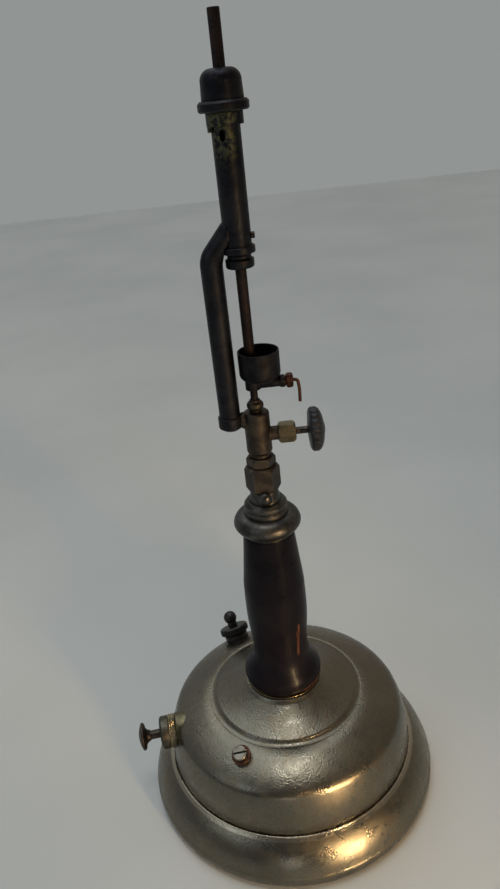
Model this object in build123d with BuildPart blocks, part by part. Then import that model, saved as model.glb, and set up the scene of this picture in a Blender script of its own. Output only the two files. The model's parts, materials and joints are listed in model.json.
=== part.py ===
from build123d import *
import os
from math import cos, radians, sin

# A pressure burner that vaporises alcohol: a round nickelled tank on a spreading foot, a turned
# wood grip, a needle valve, a priming cup, a generator tube and a burner head.
# Millimetres. Origin at the centre of the foot's underside, +Z up, -Y at the front.

os.makedirs("parts", exist_ok=True)

# ---------------------------------------------------------------- driving dimensions

# Tank and foot, as radius and height of each turn of the outline
foot_radius = 100.0
foot_rim_height = 7.0
foot_land_radius = 97.0
foot_land = 3.0
foot_rim_foot = (99.0, 3.8)
seam_radius = 84.0
seam_height = 31.0
skirt_flange_radius = 78.0
skirt_wall = 1.6
skirt_bead = 0.9
bead_root = 83.0
bead_start = 84.3
bead_end = 85.6
bead_crown = (84.95, 30.65)
foot_slope = [(94.6, 20.6), (99.0, 11.0)]
foot_curl = [(95.4, 2.4), (97.6, 6.4), (92.6, 19.6), (83.4, 28.8)]
band_bulge = (83.1, 45.5)
band_top_radius = 79.8
band_top_height = 57.0
shoulder = [(74.5, 62.9), (62.0, 68.9), (53.2, 71.2)]
shoulder_tangents = (Vector(-0.35, 1), Vector(-1, 0.08))
valley = (50.8, 71.4)
stage_radius = 49.0
stage_height = 72.4
stage_edge = [(48.3, 73.1), (47.0, 73.8)]
stage_rise = (36.5, 78.4)
seat_radius = 26.0
seat_height = 85.0
seat_lip = 1.5
sheet = 1.2
pan_radius = 82.6
pan_top = 41.0
pan_rim_gap = 2.0

# Stem and grip
stem_radius = 7.0
stem_bore = 5.0
stem_foot = 74.0
stem_top = 229.6
stem_boss_radius = 11.0
stem_boss_flange = 15.0
flange_thickness = 2.0
pickup_radius = 3.0
pickup_bore = 2.0
pickup_foot = 37.0
strainer_radius = 5.0
strainer_wall = 0.6
strainer_start = 35.0
strainer_end = 46.0
washer_radius = 24.6
grip_foot = 85.6
grip_top = 204.0
grip_foot_radius = 21.0
grip_bulb = [(25.0, 88.0), (26.0, 91.5), (22.4, 100.5), (19.4, 106.8)]
grip_waist = (18.3, 114.0)
grip_swell = [(19.25, 131.0), (19.9, 148.0), (19.6, 164.5), (18.1, 180.0), (16.4, 192.0)]
grip_top_radius = 15.2
grip_tangents = (Vector(1, 0.2), Vector(-0.08, 1))

# Collars above the grip
lip_radius = 16.6
lip_top = 206.6
lip_start_radius = 15.7
lip_edge = 0.7
lip_slope = 1.3
collar_radius = 20.75
collar_middle = 211.2
collar_under = (19.6, 208.2)
collar_over = (18.6, 215.6)
collar_top_radius = 13.6
collar_top = 217.6
seat_ring_radius = 13.4
seat_ring_top_radius = 12.2
seat_ring_edge = 1.6
seat_ring_top = 221.0
lock_ring_radius = 13.1
lock_ring_start_radius = 11.9
lock_ring_top_radius = 11.2
lock_ring_edge = 1.0
lock_ring_slope = 2.4
lock_ring_top = 226.4
socket_foot_radius = 9.7
socket_step_radius = 9.3
socket_step = 2.0
socket_radius = 8.0
socket_top = 241.0
screw_height = 231.4
screw_radius = 1.6
screw_start = 5.0
screw_pad_radius = 2.0
screw_pad_end = 9.8
screw_head_radius = 4.2
screw_head_edge = 10.6
screw_head_top = 13.3
union_flats = 18.4
union_foot = 233.5
union_top = 250.0
union_chamfer = 2.2
union_bore_top = 246.0
gland_flats = 15.2
gland_chamfer = 1.2
gland_top = 256.0

# Needle valve, turned by a wheel on +X
tail_radius = 5.0
neck_radius = 6.15
tail_collar_radius = 7.0
valve_radius = 7.5
valve_foot = 259.0
valve_foot_cone = 0.7
valve_top = 284.5
valve_edge = 1.0
fuel_bore = 1.5
seat_bore = 1.2
seat_depth = 4.0
port_bore = 2.6
port_bore_start = 3.0
vapour_bore = 1.1
link_bore = 0.7
link_foot = Vector(3.6, 0, 271.2)
link_length = 4.6
feed_bore_foot = 273.5
stub_bore_foot = 277.0
stub_depth = 2.5
spindle_height = 269.5
spindle_radius = 2.1
spindle_fit = 0.05
port_radius = 4.2
port_end = 12.0
packing_radius = 3.4
packing_end = 16.0
packing_nut_flats = 11.0
packing_nut_start = 11.6
packing_nut_end = 21.8
packing_nut_chamfer = 1.4
needle_tip = 2.3
needle = [(1.05, 4.2), (1.6, 6.0)]
needle_end = 7.0
wheel_radius = 13.1
wheel_flutes = 18
wheel_flute_radius = 1.1
wheel_start = 29.1
wheel_end = 38.5
wheel_back = [(5.4, 29.1), (10.6, 29.7), (12.2, 30.3)]
wheel_rim_start = 31.3
wheel_rim_end = 34.2
wheel_face = [(12.0, 35.6), (9.2, 37.2), (4.4, 38.3)]
wheel_recess = 36.6
wheel_nut_flats = 6.4
wheel_nut_end = 38.7
wheel_nut_chamfer = 0.7

# Jet and mixing tube, on -X
jet_offset = 15.0
arm_height = 279.6
arm_depth = 9.6
arm_width = 8.4
arm_corner = 3.6
spigot_radius = 2.6
jet_flats = 4.6
jet_hexagon_top = 284.8
jet_chamfer = 0.5
jet_tip = 288.8
jet_shoulder_radius = 1.8
jet_tip_radius = 0.9
jet_thread_radius = 1.4
jet_thread_foot = 280.2
jet_bore = 0.6
jet_bore_top = 287.6
jet_hole = 0.2
housing_radius = 7.0
housing_foot = 275.0
housing_foot_radius = 4.6
housing_foot_edge = 1.8
housing_top = 283.4
housing_edge = 0.5
housing_floor = 276.0
housing_bore = 5.2
housing_socket = 1.1
mixing_radius = 6.0
mixing_wall = 0.8
mixing_bend_height = 372.0
mixing_bend_radius = 9.0
mixing_rise = 17.85
air_hole_radius = 1.9
air_hole_height = 288.4
air_hole_turns = [140.0, -140.0]

# Generator and priming cup
stub_radius = 2.15
stub_bore = 1.6
generator_radius = 2.95
generator_bore = 2.2
feed_radius = 1.0
feed_bore = 0.6
feed_foot = 274.5
generator_bead = [(3.5, 286.1), (4.9, 288.5), (3.3, 290.8)]
generator_nut_foot = 3.4
generator_nut_neck = 2.9
generator_nut_top = 292.0
bracket_height = 301.3
bracket_radius = 3.0
bracket_start = -4.3
bracket_end = 18.0
bracket_rim = 0.6
bracket_rim_length = 2.8
bracket_boss_radius = 4.3
tube_gap = 0.3
cup_radius = 11.6
cup_offset = 4.6
cup_foot = 304.3
cup_top = 320.8
cup_wall = 0.9
cup_outside = [(7.8, 304.3), (10.5, 305.4), (11.6, 308.1)]
cup_inside = [(10.7, 308.3), (9.8, 306.2), (7.6, 305.2)]
drain_offset = 9.2
drain_bore = 1.1
drain_boss_radius = 2.4
drain_bore_top = 306.3
cock_radius = 1.3
cock_fit = 0.05
cock_hole_start = 7.0
cock_start = 12.0
drain_gland_flats = 7.4
drain_gland_neck = 2.9
drain_gland_neck_end = 18.6
drain_gland_end = 22.6
drain_gland_chamfer = 0.9
lever_radius = 0.95
lever_start = 22.8
lever_bend_radius = 2.0
lever_route = [(22.8, 0.0), (25.2, 0.0), (25.9, -6.0), (25.7, -13.6)]

# Burner head
burner_radius = 7.2
burner_wall = 0.8
burner_foot = 375.0
burner_top = 446.0
bush_foot = 367.0
bush_top = 378.0
bush_foot_radius = 7.1
bush_body_radius = 7.55
bush_body_edge = 0.8
bush_body_top = 371.2
bush_neck_radius = 6.3
bush_neck = [372.0, 373.6]
bush_ring_radius = 8.75
bush_ring_foot = 374.6
bush_ring_edge = 0.5
side_hole_height = 384.0
side_hole_radius = 4.0
bush_screw_height = 382.6
bush_screw_radius = 0.8
bush_screw_inner = 6.2
bush_screw_head = 1.7
bush_screw_end = 9.0
port_height = 430.8
port_turn = -17.0
port_size = (1.4, 2.6)
clip_foot = 435.0
clip_radius = 9.1
claw_radius = 8.9
claw_drop = 2.6
claw_rise = 0.4
claw_centre = (-8.6, -1.0)
claw_size = (5.4, 5.6)
flange_radius = 12.45
flange_foot = 441.0
flange_foot_edge = 0.8
flange_top_edge = 1.2
gauze_radius = 9.1
gauze_height = 0.6
bell_foot_radius = 10.3
bell_wall = 0.9
bell_top_radius = 9.9
bell_top = 459.6
bell_wall_top = 453.6
bell_crown = (8.4, 457.9)
bell_under = [(7.7, 457.2), (9.0, 453.4)]
bell_mouth = 4.4
tip_top = 483.8
tip_edge = 0.3
tip_plug = 6.0
feed_gap = 12.0

# Air pump, pointing out of the tank's left side and a little to the front
pump_height = 52.5
pump_turn = 8.0
pump_boss_radius = 11.9
pump_boss_start = 66.0
pump_boss_end = 80.0
pump_boss_edge = 0.8
barrel_radius = 9.5
barrel_bore = 8.6
barrel_start = 8.0
barrel_end = 85.0
pump_ring_radius = 11.3
pump_ring_edge = 0.5
pump_ring_grooves = 42
pump_ring_groove = 0.42
pump_cap_radius = 11.0
pump_cap_edge = 1.2
pump_cap_end = 91.0
pump_cap_wall = 2.4
pump_rod_radius = 3.0
pump_rod_neck = 1.8
pump_rod_end = 102.7
pump_knob_radius = 9.2
pump_knob_end = 106.3
pump_knob_rim = 103.9
pump_knob_back = [(3.5, 98.2), (4.2, 100.0), (5.6, 101.3), (8.3, 101.9), (9.2, 102.7)]
piston_start = 18.0
piston_step = 24.0
piston_disc = 22.6
piston_skirt = 7.6
piston_shoulder = (7.8, 23.4)
piston_nut_flats = 6.0
piston_nut_start = 18.4
piston_nut_end = 21.8
piston_nut_chamfer = 0.5
piston_plate = 6.6
piston_plate_start = 21.6
rod_fit = 0.08
valve_cage_radius = 3.5
valve_cage_start = 3.6
valve_cage_bore = 2.2
valve_cage_floor = 4.4
valve_cage_top = 9.0
valve_way = 0.9
valve_seat_end = 10.0
valve_ball_radius = 1.6
valve_ball_at = 7.65

# Level plug at the front left and filler at the back left, both square to the shoulder
fitting_hole = 8.0
fitting_foot = -5.0
plug_place_radius = 62.0
plug_height = 68.9
plug_lean = 23.0
plug_turn = -31.0
plug_thread_radius = 3.0
plug_start = -4.0
plug_boss_radius = 5.8
plug_boss_top = 2.6
plug_washer_radius = 6.2
plug_washer_top = 3.4
plug_head_radius = 4.8
plug_edge = 0.5
plug_top = 6.8
plug_slot_angle = 30.0
plug_slot_width = 1.1
plug_slot_depth = 1.7
filler_place_radius = 72.0
filler_height = 64.6
filler_lean = 30.0
filler_turn = -152.2
filler_boss_radius = 8.8
filler_boss_edge = 0.7
filler_boss_top = 3.4
filler_disc_radius = 11.0
filler_disc_start = 4.3
filler_disc_edge = 0.5
filler_disc_top = 9.3
filler_disc_slope = 0.9
filler_disc_grooves = 48
filler_disc_groove = 0.36
filler_disc_hole = 2.3
thread_radius = 5.0
thread_fit = 0.08
filler_stem_foot = -4.0
filler_stem_edge = 0.8
filler_neck_radius = 3.4
gasket_height = 0.8
vent_radius = 1.6
vent_start = -2.0
vent_cone_end = 0.4
vent_seat_radius = 0.8
vent_seat_top = -0.85
vent_neck_radius = 3.6
vent_neck_start = 9.6
vent_ball_radius = 5.0
vent_ball_height = 16.3
vent_stem_gap = 2.0
vent_hole_gap = 1.9

# ---------------------------------------------------------------- planes and shared shapes


def radial_plane(turn, height, lean, radius=0.0):
    """A plane whose normal points outward at a turn about +Z from the front, lean off vertical."""
    outward = Vector(sin(radians(turn)), -cos(radians(turn)), 0)
    normal = outward * sin(radians(lean)) + Vector(0, 0, cos(radians(lean)))
    across = Vector(cos(radians(turn)), sin(radians(turn)), 0)
    return Plane(origin=outward * radius + Vector(0, 0, height), x_dir=across, z_dir=normal)


upright = Plane.XY
jet_plane = Plane(origin=(-jet_offset, 0, 0), x_dir=(1, 0, 0), z_dir=(0, 0, 1))
cup_plane = Plane(origin=(cup_offset, 0, 0), x_dir=(1, 0, 0), z_dir=(0, 0, 1))
valve_plane = Plane(origin=(0, 0, spindle_height), x_dir=(0, 1, 0), z_dir=(1, 0, 0))
arm_plane = Plane(origin=(0, 0, arm_height), x_dir=(0, -1, 0), z_dir=(-1, 0, 0))
bracket_plane = Plane(origin=(0, 0, bracket_height), x_dir=(0, 1, 0), z_dir=(1, 0, 0))
socket_screw_plane = Plane(origin=(0, 0, screw_height), x_dir=(1, 0, 0), z_dir=(0, -1, 0))
pump_plane = radial_plane(pump_turn - 90.0, pump_height, 90.0)
drain_plane = Plane(origin=(drain_offset, 0, 0), x_dir=(1, 0, 0), z_dir=(0, 0, 1))
bush_screw_plane = radial_plane(90.0, bush_screw_height, 90.0)
side_hole_plane = radial_plane(-90.0, side_hole_height, 90.0)
port_plane = radial_plane(port_turn, port_height, 90.0)
# The bore that climbs from the port, behind the needle's seat, to the feed tube
link_plane = Plane(origin=link_foot, x_dir=(0, 1, 0), z_dir=(-1, 0, 1))
filler_plane = radial_plane(filler_turn, filler_height, filler_lean, filler_place_radius)
plug_plane = radial_plane(plug_turn, plug_height, plug_lean, plug_place_radius)


def side_view(plane):
    """The plane in which (radius, height) outlines about the given plane's normal are drawn."""
    return Plane(plane.origin, plane.x_dir, -plane.y_dir)


def dome_arc(rim_radius, rim_height, top_height):
    """An arc from a rim to the axis, level where it meets the axis."""
    rise = top_height - rim_height
    ball_radius = (rim_radius**2 + rise**2) / (2 * rise)
    halfway = top_height - ball_radius + (ball_radius**2 - (rim_radius / 2) ** 2) ** 0.5
    return ThreePointArc((rim_radius, rim_height), (rim_radius / 2, halfway), (0, top_height))


def turn(plane, *outline, mode=Mode.ADD):
    """Turns an outline of (radius, height) points about the plane's normal."""
    with BuildSketch(side_view(plane)) as section:
        with BuildLine():
            Polyline(*outline, close=True)
        make_face()
    revolve(section.sketch, axis=Axis(plane.origin, plane.z_dir), mode=mode)


def tube(plane, outer, inner, start, end, mode=Mode.ADD):
    """A round tube about the plane's normal, or a rod where inner is zero."""
    turn(plane, (inner, start), (outer, start), (outer, end), (inner, end), mode=mode)


def rod(plane, radius, start, end, mode=Mode.ADD):
    """A round rod about the plane's normal, or a drilled hole in subtract mode."""
    tube(plane, radius, 0, start, end, mode=mode)


def turn_ball(plane, radius, height):
    """A ball centred on the plane's normal at a height."""
    with BuildSketch(side_view(plane)) as section:
        with BuildLine():
            arc = ThreePointArc((0, height - radius), (radius, height), (0, height + radius))
            Line(arc @ 1, arc @ 0)
        make_face()
    revolve(section.sketch, axis=Axis(plane.origin, plane.z_dir))


def hexagon(plane, flats, start, end, chamfer_size, both_ends=True):
    """A hexagon bar with its corners turned off at the far end, or at both ends."""
    corner_share = 0.3
    clear = 0.01
    with BuildSketch(plane.offset(start)) as section:
        RegularPolygon(flats / 2, 6, major_radius=False)
    extrude(section.sketch, end - start)
    corner = flats / 3**0.5 + clear
    inner = flats / 2 - chamfer_size * corner_share
    near = inner if both_ends else corner
    turn(plane, (0, start), (near, start), (corner, start + chamfer_size), (corner, end - chamfer_size),
         (inner, end), (0, end), mode=Mode.INTERSECT)


def flutes(plane, radius, count, groove, start, end):
    """Cuts evenly spaced round grooves along a rim."""
    groove_outside = 0.35
    with BuildSketch(plane.offset(start)) as section:
        with PolarLocations(radius + groove * groove_outside, count):
            Circle(groove)
    extrude(section.sketch, end - start, mode=Mode.SUBTRACT)


def tank_form(inset):
    """The tank's outside form from the seam to the grip's seat, moved in and down by inset."""

    def at(radius, height):
        return (radius - inset, height - inset)

    with BuildSketch(Plane.XZ) as section:
        with BuildLine():
            band_top = at(band_top_radius, band_top_height)
            band = ThreePointArc(at(seam_radius, seam_height), at(*band_bulge), band_top)
            slope = Spline(band @ 1, *[at(*point) for point in shoulder], tangents=shoulder_tangents)
            dip = ThreePointArc(slope @ 1, at(*valley), at(stage_radius, stage_height))
            edge = ThreePointArc(dip @ 1, *[at(*point) for point in stage_edge])
            stage = Spline(edge @ 1, at(*stage_rise), at(seat_radius + seat_lip, seat_height - seat_lip))
            lip = Line(stage @ 1, at(seat_radius, seat_height))
            Polyline(lip @ 1, (0, seat_height - inset), (0, seam_height - inset), band @ 0)
        make_face()
    revolve(section.sketch, axis=Axis.Z, mode=Mode.ADD if inset == 0 else Mode.SUBTRACT)


# ---------------------------------------------------------------- foot and tank

with BuildPart() as foot_skirt:
    with BuildSketch(Plane.XZ):
        with BuildLine():
            slope = ThreePointArc((bead_end, seam_height - skirt_bead), *foot_slope)
            rim = ThreePointArc(slope @ 1, (foot_radius, foot_rim_height), foot_rim_foot)
            land = Polyline(rim @ 1, (foot_land_radius, 0), (foot_land_radius - foot_land, 0))
            curl = ThreePointArc(land @ 1, *foot_curl[:2])
            inside = ThreePointArc(curl @ 1, *foot_curl[2:])
            flange = Polyline(inside @ 1, (skirt_flange_radius, seam_height - skirt_wall),
                              (skirt_flange_radius, seam_height), (bead_root, seam_height),
                              (bead_root, seam_height - skirt_bead), (bead_start, seam_height - skirt_bead))
            ThreePointArc(flange @ 1, bead_crown, slope @ 0)
        make_face()
    revolve(axis=Axis.Z)
foot_skirt.part.label = "foot_skirt"
export_step(foot_skirt.part, "parts/foot_skirt.step")

with BuildPart() as tank_bottom:
    rod(upright, pan_radius, seam_height, pan_top - pan_rim_gap)
    rod(upright, pan_radius - sheet, seam_height + sheet, pan_top, mode=Mode.SUBTRACT)
tank_bottom.part.label = "tank_bottom"
export_step(tank_bottom.part, "parts/tank_bottom.step")

with BuildPart() as tank_shell:
    tank_form(0)
    tank_form(sheet)
    rod(upright, pan_radius, seam_height - sheet, pan_top, mode=Mode.SUBTRACT)
    rod(upright, stem_radius, pan_top, seat_height, mode=Mode.SUBTRACT)
    rod(pump_plane, pump_boss_radius, pump_boss_start, foot_radius, mode=Mode.SUBTRACT)
    rod(filler_plane, filler_boss_radius, -fitting_hole, fitting_hole, mode=Mode.SUBTRACT)
    rod(plug_plane, plug_boss_radius, -fitting_hole, fitting_hole, mode=Mode.SUBTRACT)
tank_shell.part.label = "tank_shell"
export_step(tank_shell.part, "parts/tank_shell.step")

# The threaded bush under the crown of the tank, which the stem screws into
with BuildPart() as stem_boss:
    flange_start = seat_height - sheet - flange_thickness
    tube(upright, stem_boss_flange, stem_radius, flange_start, seat_height - sheet)
    tube(upright, stem_boss_radius, stem_radius, stem_foot - flange_thickness, flange_start)
stem_boss.part.label = "stem_boss"
export_step(stem_boss.part, "parts/stem_boss.step")

# ---------------------------------------------------------------- stem and grip

with BuildPart() as stem_tube:
    tube(upright, stem_radius, stem_bore, stem_foot, stem_top)
stem_tube.part.label = "stem_tube"
export_step(stem_tube.part, "parts/stem_tube.step")

with BuildPart() as pickup_tube:
    tube(upright, pickup_radius, pickup_bore, pickup_foot, socket_top)
pickup_tube.part.label = "pickup_tube"
export_step(pickup_tube.part, "parts/pickup_tube.step")

# A fine gauze cup that keeps dirt out of the fuel tube
with BuildPart() as pickup_strainer:
    rod(upright, strainer_radius, strainer_start, strainer_end)
    rod(upright, strainer_radius - strainer_wall, strainer_start + strainer_wall, strainer_end - strainer_wall,
        mode=Mode.SUBTRACT)
    rod(upright, pickup_radius, pickup_foot, strainer_end, mode=Mode.SUBTRACT)
pickup_strainer.part.label = "pickup_strainer"
export_step(pickup_strainer.part, "parts/pickup_strainer.step")

with BuildPart() as grip_washer:
    tube(upright, washer_radius, stem_radius, seat_height, grip_foot)
grip_washer.part.label = "grip_washer"
export_step(grip_washer.part, "parts/grip_washer.step")

with BuildPart() as grip:
    with BuildSketch(Plane.XZ):
        with BuildLine():
            side = Spline((grip_foot_radius, grip_foot), *grip_bulb, grip_waist, *grip_swell,
                          (grip_top_radius, grip_top), tangents=grip_tangents)
            Polyline(side @ 1, (stem_radius, grip_top), (stem_radius, grip_foot), side @ 0)
        make_face()
    revolve(axis=Axis.Z)
grip.part.label = "grip"
export_step(grip.part, "parts/grip.step")

# ---------------------------------------------------------------- collars above the grip

with BuildPart() as collar_lip:
    turn(upright, (stem_radius, grip_top), (lip_start_radius, grip_top), (lip_radius, grip_top + lip_edge),
         (lip_radius, lip_top - lip_slope), (lip_radius - lip_slope, lip_top), (stem_radius, lip_top))
collar_lip.part.label = "collar_lip"
export_step(collar_lip.part, "parts/collar_lip.step")

with BuildPart() as collar:
    with BuildSketch(Plane.XZ):
        with BuildLine():
            under = ThreePointArc((lip_start_radius, lip_top), collar_under, (collar_radius, collar_middle))
            over = ThreePointArc(under @ 1, collar_over, (collar_top_radius, collar_top))
            Polyline(over @ 1, (stem_radius, collar_top), (stem_radius, lip_top), under @ 0)
        make_face()
    revolve(axis=Axis.Z)
collar.part.label = "collar"
export_step(collar.part, "parts/collar.step")

with BuildPart() as seat_ring:
    turn(upright, (stem_radius, collar_top), (seat_ring_radius, collar_top),
         (seat_ring_radius, collar_top + seat_ring_edge), (seat_ring_top_radius, seat_ring_top),
         (stem_radius, seat_ring_top))
seat_ring.part.label = "seat_ring"
export_step(seat_ring.part, "parts/seat_ring.step")

with BuildPart() as lock_ring:
    turn(upright, (stem_radius, seat_ring_top), (lock_ring_start_radius, seat_ring_top),
         (lock_ring_radius, seat_ring_top + lock_ring_edge), (lock_ring_radius, lock_ring_top - lock_ring_slope),
         (lock_ring_top_radius, lock_ring_top), (stem_radius, lock_ring_top))
lock_ring.part.label = "lock_ring"
export_step(lock_ring.part, "parts/lock_ring.step")

# The socket takes the stem tube from below and the union nut's thread above
with BuildPart() as stem_socket:
    turn(upright, (stem_radius, lock_ring_top), (socket_foot_radius, lock_ring_top),
         (socket_step_radius, lock_ring_top + socket_step), (socket_radius, union_foot),
         (socket_radius, socket_top), (pickup_radius, socket_top), (pickup_radius, stem_top),
         (stem_radius, stem_top))
    rod(socket_screw_plane, screw_pad_radius, stem_radius, screw_pad_end)
    rod(socket_screw_plane, screw_radius, screw_start, screw_pad_end, mode=Mode.SUBTRACT)
stem_socket.part.label = "stem_socket"
export_step(stem_socket.part, "parts/stem_socket.step")

# A round-headed screw at the front that locks the socket on the stem
with BuildPart() as socket_screw:
    with BuildSketch(side_view(socket_screw_plane)):
        with BuildLine():
            dome = dome_arc(screw_head_radius, screw_head_edge, screw_head_top)
            Polyline(dome @ 1, (0, screw_start), (screw_radius, screw_start), (screw_radius, screw_pad_end),
                     (screw_head_radius, screw_pad_end), dome @ 0)
        make_face()
    revolve(axis=Axis(socket_screw_plane.origin, socket_screw_plane.z_dir))
socket_screw.part.label = "socket_screw"
export_step(socket_screw.part, "parts/socket_screw.step")

with BuildPart() as union_nut:
    hexagon(upright, union_flats, union_foot, union_top, union_chamfer)
    rod(upright, socket_radius, union_foot, union_bore_top, mode=Mode.SUBTRACT)
    rod(upright, tail_radius, socket_top, union_top, mode=Mode.SUBTRACT)
union_nut.part.label = "union_nut"
export_step(union_nut.part, "parts/union_nut.step")

with BuildPart() as gland_nut:
    hexagon(upright, gland_flats, union_top, gland_top, gland_chamfer)
    rod(upright, tail_radius, union_top, gland_top, mode=Mode.SUBTRACT)
gland_nut.part.label = "gland_nut"
export_step(gland_nut.part, "parts/gland_nut.step")

# ---------------------------------------------------------------- needle valve

with BuildPart() as valve_body:
    turn(upright, (0, socket_top), (tail_collar_radius, socket_top), (tail_collar_radius, union_bore_top),
         (tail_radius, union_bore_top), (tail_radius, gland_top), (neck_radius, gland_top),
         (neck_radius, valve_foot - valve_foot_cone), (valve_radius, valve_foot + valve_foot_cone),
         (valve_radius, valve_top - valve_edge), (valve_radius - valve_edge, valve_top), (0, valve_top))
    rod(valve_plane, port_radius, 0, port_end)
    with BuildSketch(arm_plane):
        RectangleRounded(arm_width, arm_depth, arm_corner)
    extrude(amount=jet_offset)
    rod(jet_plane, housing_radius, housing_foot - housing_socket, valve_top, mode=Mode.SUBTRACT)
    rod(arm_plane, spigot_radius, 0, jet_offset)
    rod(jet_plane, spigot_radius, arm_height - spigot_radius, arm_height + spigot_radius)
    # Fuel comes up the tail, past the needle's seat and back up to the feed tube
    rod(upright, fuel_bore, socket_top, spindle_height, mode=Mode.SUBTRACT)
    rod(valve_plane, seat_bore, 0, seat_depth, mode=Mode.SUBTRACT)
    rod(valve_plane, port_bore, port_bore_start, port_end, mode=Mode.SUBTRACT)
    rod(link_plane, link_bore, 0, link_length, mode=Mode.SUBTRACT)
    # Vapour comes down the outside of the feed tube and along the arm to the jet
    rod(upright, feed_radius, feed_bore_foot, valve_top, mode=Mode.SUBTRACT)
    rod(upright, stub_bore, stub_bore_foot, valve_top, mode=Mode.SUBTRACT)
    rod(upright, stub_radius, valve_top - stub_depth, valve_top, mode=Mode.SUBTRACT)
    rod(arm_plane, vapour_bore, 0, jet_offset, mode=Mode.SUBTRACT)
    rod(jet_plane, jet_thread_radius, arm_height, arm_height + spigot_radius, mode=Mode.SUBTRACT)
valve_body.part.label = "valve_body"
export_step(valve_body.part, "parts/valve_body.step")

with BuildPart() as packing:
    tube(valve_plane, packing_radius, spindle_radius + spindle_fit, port_end, packing_end)
packing.part.label = "packing"
export_step(packing.part, "parts/packing.step")

with BuildPart() as packing_nut:
    hexagon(valve_plane, packing_nut_flats, packing_nut_start, packing_nut_end, packing_nut_chamfer)
    rod(valve_plane, port_radius, packing_nut_start, port_end, mode=Mode.SUBTRACT)
    rod(valve_plane, packing_radius, port_end, packing_end, mode=Mode.SUBTRACT)
    rod(valve_plane, spindle_radius + spindle_fit, port_end, packing_nut_end, mode=Mode.SUBTRACT)
packing_nut.part.label = "packing_nut"
export_step(packing_nut.part, "parts/packing_nut.step")

# The needle's cone closes the small seat bore; the square end carries the wheel
with BuildPart() as valve_spindle:
    turn(valve_plane, (0, needle_tip), *needle, (spindle_radius, needle_end), (spindle_radius, wheel_end),
         (0, wheel_end))
valve_spindle.part.label = "valve_spindle"
export_step(valve_spindle.part, "parts/valve_spindle.step")

with BuildPart() as handwheel:
    bore = spindle_radius + spindle_fit
    turn(valve_plane, (bore, wheel_start), *wheel_back, (wheel_radius, wheel_rim_start),
         (wheel_radius, wheel_rim_end), *wheel_face, (wheel_face[-1][0], wheel_recess), (bore, wheel_recess))
    flutes(valve_plane, wheel_radius, wheel_flutes, wheel_flute_radius, wheel_start, wheel_end)
handwheel.part.label = "handwheel"
export_step(handwheel.part, "parts/handwheel.step")

# The cap nut sits in the wheel's face and holds the wheel on the spindle's end
with BuildPart() as handwheel_nut:
    hexagon(valve_plane, wheel_nut_flats, wheel_recess, wheel_nut_end, wheel_nut_chamfer)
    rod(valve_plane, spindle_radius + spindle_fit, wheel_recess, wheel_nut_end, mode=Mode.SUBTRACT)
handwheel_nut.part.label = "handwheel_nut"
export_step(handwheel_nut.part, "parts/handwheel_nut.step")

# ---------------------------------------------------------------- jet and mixing tube

with BuildPart() as jet_nipple:
    hexagon(jet_plane, jet_flats, arm_height + spigot_radius, jet_hexagon_top, jet_chamfer, both_ends=False)
    rod(jet_plane, jet_thread_radius, jet_thread_foot, arm_height + spigot_radius)
    turn(jet_plane, (0, jet_hexagon_top), (jet_shoulder_radius, jet_hexagon_top), (jet_tip_radius, jet_tip),
         (0, jet_tip))
    rod(jet_plane, jet_bore, jet_thread_foot, jet_bore_top, mode=Mode.SUBTRACT)
    rod(jet_plane, jet_hole, jet_bore_top, jet_tip, mode=Mode.SUBTRACT)
jet_nipple.part.label = "jet_nipple"
export_step(jet_nipple.part, "parts/jet_nipple.step")

with BuildPart() as jet_housing:
    socket_floor = housing_top - housing_socket
    turn(jet_plane, (0, housing_foot), (housing_foot_radius, housing_foot),
         (housing_radius, housing_foot + housing_foot_edge), (housing_radius, housing_top - housing_edge),
         (housing_radius - housing_edge, housing_top), (mixing_radius, housing_top),
         (mixing_radius, socket_floor), (housing_bore, socket_floor), (housing_bore, housing_floor),
         (0, housing_floor))
    rod(arm_plane, spigot_radius, 0, jet_offset, mode=Mode.SUBTRACT)
jet_housing.part.label = "jet_housing"
export_step(jet_housing.part, "parts/jet_housing.step")

# Air enters the mixing tube by two holes at the back, just above the jet
with BuildPart() as mixing_tube:
    with BuildLine() as mixing_route:
        FilletPolyline((-jet_offset, 0, housing_top - housing_socket), (-jet_offset, 0, mixing_bend_height),
                       (0, 0, mixing_bend_height + mixing_rise), radius=mixing_bend_radius)
    with BuildSketch(jet_plane.offset(housing_top - housing_socket)):
        Circle(mixing_radius)
        Circle(mixing_radius - mixing_wall, mode=Mode.SUBTRACT)
    sweep(path=mixing_route.line)
    rod(upright, burner_radius, bush_foot, flange_foot, mode=Mode.SUBTRACT)
    rod(upright, bush_ring_radius, bush_foot, bush_top, mode=Mode.SUBTRACT)
    for air_turn in air_hole_turns:
        across = radial_plane(air_turn, air_hole_height, 90.0)
        air_plane = Plane(jet_plane.origin + across.origin, across.x_dir, across.z_dir)
        rod(air_plane, air_hole_radius, 0, housing_radius, mode=Mode.SUBTRACT)
mixing_tube.part.label = "mixing_tube"
export_step(mixing_tube.part, "parts/mixing_tube.step")

# ---------------------------------------------------------------- generator and priming cup

with BuildPart() as generator_nut:
    with BuildSketch(Plane.XZ):
        with BuildLine():
            bead = ThreePointArc(*generator_bead)
            Polyline(bead @ 1, (generator_nut_neck, generator_nut_top), (stub_radius, generator_nut_top),
                     (stub_radius, valve_top), (generator_nut_foot, valve_top), bead @ 0)
        make_face()
    revolve(axis=Axis.Z)
generator_nut.part.label = "generator_nut"
export_step(generator_nut.part, "parts/generator_nut.step")

with BuildPart() as generator_stub:
    tube(upright, stub_radius, stub_bore, valve_top - stub_depth, bracket_height - tube_gap)
generator_stub.part.label = "generator_stub"
export_step(generator_stub.part, "parts/generator_stub.step")

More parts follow.
